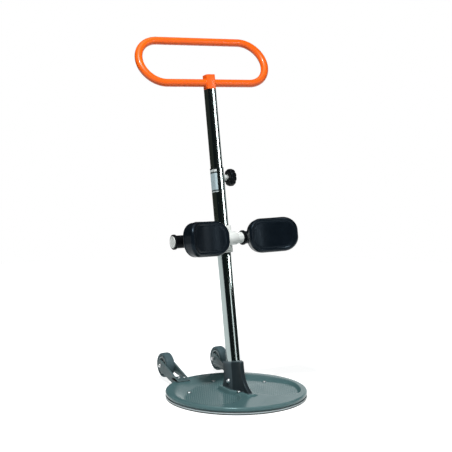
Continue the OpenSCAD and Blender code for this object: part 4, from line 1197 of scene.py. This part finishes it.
@dataclass
class ShinPad:
    """One moulded pad on its black sleeve.

    The crease and the swelling are a distance inside the outline, a width and a height. The tail is rows of
    inset and share of the rear band.
    """

    side: Side
    rod: Axes
    sleeve: Span = (44.0, 201.0)
    sleeve_bore: float = 16.05
    sleeve_r: float = 20.05
    sleeve_cut: float = 1.3
    flange_r: float = 23.55
    flange_w: float = 7.0
    place_x: float = 124.0
    back: float = 45.0
    toe: float = 15.0
    width: float = 160.0
    height: float = 109.0
    corner: float = 44.0
    thick: float = 50.0
    hollow: float = 20.0
    lip: float = 13.0
    band: float = 9.0
    crease: Triple = (13.0, 1.9, -1.3)
    swell: Triple = (6.0, 3.6, 1.4)
    tail: tuple[Span, ...] = ((2.0, 1.0), (1.0, 0.5), (3.0, 0.0), (8.0, 0.0))
    tail_cut: float = 2.5
    corner_steps: int = 14
    panel_steps: int = 24
    lip_steps: int = 26
    side_steps: int = 8
    fill: float = 0.95

    def build_sleeve(self) -> None:
        """Makes the sleeve: a turned tube with a flange at each end and eased edges."""
        start, end = self.sleeve
        near, far = start + self.flange_w, end - self.flange_w
        line = soft_corners([[self.sleeve_bore, start], [self.flange_r, start], [self.flange_r, near],
                             [self.sleeve_r, near], [self.sleeve_r, far], [self.flange_r, far],
                             [self.flange_r, end], [self.sleeve_bore, end]], self.sleeve_cut, closed=True)
        turned = self.rod.facing_side(self.side).turned(line)
        make_piece(f"{self.side.word}_sleeve", [turned], Slot.BLACK_PLASTIC, f"{self.side.word}_support")

    def front(self, x: Points) -> Points:
        """Height of the front above the back: a hollow that is round from side to side."""
        return self.thick - self.hollow * (1 - (x / (self.width / 2)) ** 2)

    def outline(self) -> tuple[Points, Points]:
        """Rectangle with round corners, as places that get a radius and the directions to add it in.

        Returns:
            The places (corners' centres and the sides between them) and the directions.
        """
        corners = np.array([[1, -1], [1, 1], [-1, 1], [-1, -1]])
        corners = corners * (np.array([self.width, self.height]) / 2 - self.corner)
        quarter, straight = arc(0, 90, self.corner_steps), np.linspace(0, 1, self.corner_steps)[1:-1]
        along = np.concatenate([np.zeros_like(quarter), straight])[:, None]
        turn = np.concatenate([quarter, np.full_like(straight, np.pi / 2)])
        places = corners[:, None] + (np.roll(corners, -1, axis=0) - corners)[:, None] * along
        angles = turn + np.pi / 2 * np.arange(-1, 3)[:, None]
        return places.reshape(-1, 2), circle(angles.ravel())

    def rings(self) -> Points:
        """Rings from the middle of the front over the lip to the middle of the back.

        Inside the lip the front follows the hollow. A crease and a swelling, each a bell curve of the
        distance inside the outline, part the panel from the lip, which is a quarter circle that runs over
        into drawn-in sides.

        Returns:
            A grid of points in the pad's frame, with a row for each ring.
        """
        panel, lip = np.linspace(0, 1, self.panel_steps)[:-1], arc(0, 90, self.lip_steps)
        share = np.concatenate([panel, np.ones_like(lip)])[:, None]
        turn = np.concatenate([np.zeros_like(panel), lip])[:, None]
        inset, drop = self.lip * (1 - np.sin(turn)), self.lip * (1 - np.cos(turn))
        inside = inset + (1 - share) * (self.height / 2 - self.lip)
        for at, width, height in (self.crease, self.swell):
            drop = drop - height * np.exp(-((inside - at) / width) ** 2)
        places, ways = self.outline()
        flat = share[..., None] * (places + (self.corner - inset)[..., None] * ways)
        front = upright(flat, drop - self.front(flat[..., 0]))
        tail = soft_corners([[row, -part * self.band] for row, part in self.tail], self.tail_cut)
        back = upright(places + (self.corner - tail[:, :1, None]) * ways, tail[:, 1:])
        part = np.linspace(0, 1, self.side_steps)[1:, None, None]
        sides = front[-1] + (back[0] - front[-1]) * ease(part)
        return capped(np.concatenate([front, sides, back]))

    def build(self) -> None:
        """Makes the sleeve and the moulded foam pad behind its own skin."""
        self.build_sleeve()
        across = self.side.value
        axes = self.rod.moved(across * self.place_x, -self.back).toed(-across * self.toe)
        pad = make_piece(f"{self.side.word}_pad", [axes.patch(self.rings())], Slot.PAD_SKIN,
                         f"{self.side.word}_support", angle=60.0)


@dataclass
class Wheel:
    """One wheel's tyre in a two-armed fork on the plate's rear rim, with places to the rear and up."""

    side: Side
    axle: Span = (296.0, 52.0)
    root: Span = (205.0, 21.0)
    toe: Span = (165.5, 25.4)
    eye_r: float = 18.0
    root_r: float = 10.0
    toe_r: float = 2.4
    least_r: float = 0.2
    arm_in: float = 16.2
    arm_t: float = 6.0
    arm_inset: float = 2.5
    arm_cut: float = 2.2
    arm_sides: int = 120
    foot_from: float = 163.5
    foot_h: float = 9.0
    foot_cut: float = 1.6
    toe_h: float = 3.5
    wedge_cut: float = 2.6
    plate_gap: float = 0.3
    tyre_r: float = 41.0
    tyre_w: float = 30.0
    hub_r: float = 29.0
    shoulder: float = 8.0
    shoulder_steps: int = 8
    tread_r: float = 400.0

    @property
    def x(self) -> float:
        """Place of the wheel across the turner."""
        return self.side.value * WHEEL_X

    def arm(self, middle: float) -> Points:
        """Arm of the fork: outlines round the toe, the root and the eye, drawn in near both faces.

        In each direction the outline takes the farthest of the three circles' points, which gives their
        hull. Over the plate it ends at the rim's top.

        Args:
            middle: place of the arm's middle across the turner.

        Returns:
            A closed grid of points.
        """
        rise = soft_span(-self.arm_t / 2, self.arm_t / 2, self.arm_inset, self.arm_cut)
        way = circle(round_angles(self.arm_sides))
        centres = np.array([self.toe, self.root, self.axle])
        radii = np.array([self.toe_r, self.root_r, self.eye_r])
        farthest = (way @ centres.T + radii).argmax(axis=-1)
        radius = np.maximum(radii[farthest] - rise[:, :1], self.least_r)
        flat = centres[farthest] + radius[..., None] * way
        rings = capped(joined(middle + rise[:, 1:], flat[..., 0], flat[..., 1]))
        over = np.hypot(rings[..., 0], rings[..., 1]) < PLATE_R + self.plate_gap
        rings[..., 2] = np.where(over, np.maximum(rings[..., 2], DECK), rings[..., 2])
        return rings

    def foot(self) -> Points:
        """Foot of the fork: a wedge that rises from its toe, carried across and drawn in at both ends.

        Returns:
            A closed grid of points.
        """
        toe, heel, top = self.foot_from, self.root[0], DECK + self.foot_h
        wedge = soft_corners([[toe, DECK], [toe, DECK + self.toe_h], [(toe + heel) / 2, top], [heel, top],
                              [heel, DECK]], self.wedge_cut, closed=True)
        half = self.arm_in + self.arm_t
        rise = soft_span(-half, half, self.foot_cut, self.foot_cut)
        middle = wedge[:, 1].mean()
        height = middle + (wedge[:, 1] - middle) * (1 - rise[:, :1] / (self.foot_h / 2))
        return capped(joined(self.x + rise[:, 1:], wedge[:, 0], height))

    def build(self) -> None:
        """Makes the fork's arms and foot, and the tyre, a turned ring with round shoulders and low crown."""
        reach = self.arm_in + self.arm_t / 2
        grids = [self.arm(self.x - reach), self.arm(self.x + reach), self.foot()]
        patches = [Patch.grid(grid) for grid in grids]
        make_piece(f"{self.side.word}_fork", patches, Slot.FORK_PLASTIC, "turntable")
        half = self.tyre_w / 2
        edge_r = self.tyre_r - self.tread_r + math.sqrt(self.tread_r ** 2 - half ** 2)
        line = soft_corners([[self.hub_r, -half], [edge_r, -half], [self.tyre_r, 0], [edge_r, half],
                             [self.hub_r, half]], self.shoulder, self.shoulder_steps, closed=True)
        tyre = FLOOR.moved(self.x, *self.axle).facing_side(Side.RIGHT).turned(line)
        make_piece(f"{self.side.word}_tyre", [tyre], Slot.WHEEL_RUBBER, f"{self.side.word}_wheel")


@dataclass(frozen=True)
class Lamp:
    """A soft rectangular lamp, with or without its own image in mirrors; places and sizes are in metres."""

    name: str
    place: Triple
    aim: Triple
    size: Span
    watts: float
    mirrored: bool = True

    def build(self) -> None:
        """Hangs the lamp and turns it to what it lights."""
        data = bpy.data.lights.new(self.name, "AREA")
        data.shape = "RECTANGLE"
        data.size, data.size_y = self.size
        data.energy = self.watts
        made = bpy.data.objects.new(self.name, data)
        made.location = self.place
        made.rotation_euler = (Vector(self.aim) - Vector(self.place)).to_track_quat("-Z", "Y").to_euler()
        made.visible_camera = False
        made.visible_glossy = self.mirrored
        bpy.context.scene.collection.objects.link(made)


@dataclass(frozen=True)
class Drape:
    """A dark drape that only mirror rays meet, as a photographer flags chrome; sizes are in millimetres.

    Its ends are angles from the front towards the right, in degrees.
    """

    name: str
    start: float
    end: float
    low: float
    tone: str
    high: float = 9000.0
    radius: float = 4400.0
    thick: float = 40.0
    steps: int = 48

    def build(self) -> None:
        """Hangs the drape along an arc round the turner and hides it from all rays but those from gloss."""
        a = arc(self.start, self.end, self.steps)
        way = joined(np.sin(a), -np.cos(a))
        line = np.concatenate([self.radius * way, (self.radius + self.thick) * way[::-1]])
        rings = np.stack([lifted(line, z) for z in (self.low, self.high)])
        drape = make_mesh(self.name, [Patch.grid(rings)])
        material = bpy.data.materials.new(f"{self.name}_cloth")
        tree = emptied(material)
        cloth = add_node(tree, "Emission", {"Color": linear(self.tone)}).outputs[0]
        add_node(tree, "OutputMaterial", {"Surface": cloth})
        drape.data.materials.append(material)
        for ray in ("camera", "diffuse", "shadow", "transmission", "volume_scatter"):
            setattr(drape, f"visible_{ray}", False)


def seen(tree: Tree) -> Socket:
    """Asks what sort of ray meets the surface.

    Args:
        tree: node tree that asks.

    Returns:
        The socket of the answer: 1 for rays from the camera, from gloss and through glass, 0 for the others.
    """
    rays = add_node(tree, "LightPath").outputs
    first = worked(tree, "MAXIMUM", rays["Is Camera Ray"], rays["Is Glossy Ray"])
    return worked(tree, "MAXIMUM", first, rays["Is Transmission Ray"])


@dataclass
class Studio:
    """Pale floor, soft lamps, dark drapes that only mirrors see, white surroundings and the camera."""

    camera_place: Triple = (-1.7406, -3.0151, 0.9276)
    camera_turn: Triple = (83.7138, 0.0, -29.463)
    lens: float = 89.10
    sensor: float = 36.0
    floor_r: float = 3200.0
    floor_z: float = -0.5
    floor_tone: str = "#babebe"
    floor_lift: Span = (0.8, 0.97)
    floor_span: Span = (0.45, 1.5)
    ambient: float = 0.13
    white: Colour = (1.0, 1.0, 1.0, 1.0)
    drapes: tuple[Drape, ...] = (
        Drape("right_drape", 16.0, 100.0, 1.0, "#1f2524"),
        Drape("rear_drape", 100.0, 152.0, 1500.0, "#1f2424"),
        Drape("rear_left_drape", 152.0, 178.0, 1.0, "#1f2424"),
        Drape("left_drape", -182.0, -112.0, 1.0, "#3c3f3a"),
        Drape("front_drape", -112.0, 16.0, 330.0, "#20262a"))
    lamps: tuple[Lamp, ...] = (
        Lamp("key_lamp", (-0.94, -1.02, 2.9), (0.0, 0.0, 0.5), (0.2, 0.2), 80.0),
        Lamp("fill_lamp", (-1.2, -3.2, 1.2), (0.0, 0.0, 0.6), (1.2, 1.2), 9.0, mirrored=False),
        Lamp("back_lamp", (1.6, 2.2, 1.2), (0.0, 0.1, 0.9), (1.2, 1.2), 26.0, mirrored=False),
        Lamp("side_lamp", (2.7, -1.45, 1.3), (0.0, 0.0, 0.5), (0.8, 1.4), 7.0),
        Lamp("low_strip_lamp", (1.92, -3.2, 0.45), (0.0, 0.0, 0.3), (0.15, 0.9), 1.0),
        Lamp("strip_lamp", (2.12, -3.05, 1.7), (0.0, 0.0, 0.8), (0.14, 1.6), 14.0))

    def build_floor(self) -> None:
        """Lays a round pale floor, which keeps shadows near the turner and is white farther out."""
        profile = np.array([[0.0, self.floor_z], [self.floor_r, self.floor_z]])
        floor = make_mesh("studio_floor", [FLOOR.turned(profile, wrap_rows=False)])
        material = bpy.data.materials.new("matt_white_floor")
        tree = emptied(material)
        matt = add_node(tree, "BsdfDiffuse", {"Color": linear(self.floor_tone)}).outputs[0]
        place = add_node(tree, "TexCoord").outputs["Object"]
        away = add_node(tree, "VectorMath", {0: place}, operation="LENGTH").outputs["Value"]
        lift = mapped(tree, away, self.floor_span, self.floor_lift)
        glow = add_node(tree, "Emission", {"Strength": lift}).outputs[0]
        both = add_node(tree, "AddShader", {0: matt, 1: glow}).outputs[0]
        mixed = add_node(tree, "MixShader", {0: seen(tree), 1: matt, 2: both}).outputs[0]
        add_node(tree, "OutputMaterial", {"Surface": mixed})
        floor.data.materials.append(material)

    def build_world(self) -> None:
        """Makes the surroundings: white where they are seen, and a plain even light elsewhere."""
        world = bpy.data.worlds.new("white_studio")
        tree = emptied(world)
        light, white = (add_node(tree, "Background", {"Color": self.white, "Strength": strength}).outputs[0]
                        for strength in (self.ambient, 1.0))
        mixed = add_node(tree, "MixShader", {0: seen(tree), 1: light, 2: white}).outputs[0]
        add_node(tree, "OutputWorld", {"Surface": mixed})
        bpy.context.scene.world = world

    def build_camera(self) -> None:
        """Sets the camera at the photograph's place and angle."""
        data = bpy.data.cameras.new("photo_camera")
        data.lens = self.lens
        data.sensor_width = self.sensor
        camera = bpy.data.objects.new("photo_camera", data)
        camera.location = self.camera_place
        camera.rotation_euler = [math.radians(a) for a in self.camera_turn]
        bpy.context.scene.collection.objects.link(camera)
        bpy.context.scene.camera = camera

    def build(self) -> None:
        """Sets up the camera, the surroundings, the floor, the drapes and the lamps."""
        bpy.context.scene.view_settings.view_transform = "Standard"
        self.build_camera()
        self.build_world()
        self.build_floor()
        for piece in (*self.drapes, *self.lamps):
            piece.build()


def dress_nodes() -> None:
    """Gives each node of the frame the finish of its slot."""
    for part in frame["record"]["subparts"]:
        node = frame["nodes"][part["node"]]
        finish = FINISHES[Slot(part["material_slot"])]
        for holder in node.material_slots:
            holder.material = finish.material()
        log.info("%s: %s", part["node"], finish.name)


def clamps() -> list[HandClamp]:
    """The post clamp on the right-hand face and the carriage's clamp at the rear.

    Returns:
        The clamps.
    """
    main_clamp = HandClamp(
        post_axes(CLAMP_S).facing_side(Side.RIGHT), "clamp_knob", "knob", "knob_neck",
        knob_d=56.0, knob_t=20.0, knob_from=37.1, neck=(21.0, 15.0), neck_from=28.1, stud_d=10.0)
    small_clamp = HandClamp(
        post_axes(ROD_S).facing_back(), "small_clamp_knob", "small_knob", "small_knob_neck",
        knob_d=36.0, knob_t=12.0, knob_from=36.4, neck=(16.0, 19.2), neck_from=30.4, stud_d=8.0)
    return [main_clamp, small_clamp]


def main() -> None:
    """Builds the studio and every sub-assembly in order."""
    logging.basicConfig(level=logging.INFO, format="%(message)s")
    Studio().build()
    dress_nodes()
    pedestal, carriage = Pedestal(), ShinCarriage()
    pads = [ShinPad(side, carriage.rod_axes()) for side in Side]
    wheels = [Wheel(side) for side in Side]
    post_parts = [LabelPlate(), pedestal, Turntable(pedestal), Handle(), *clamps()]
    for part in [*post_parts, carriage, *pads, *wheels]:
        part.build()


if __name__ == "__main__":
    main()
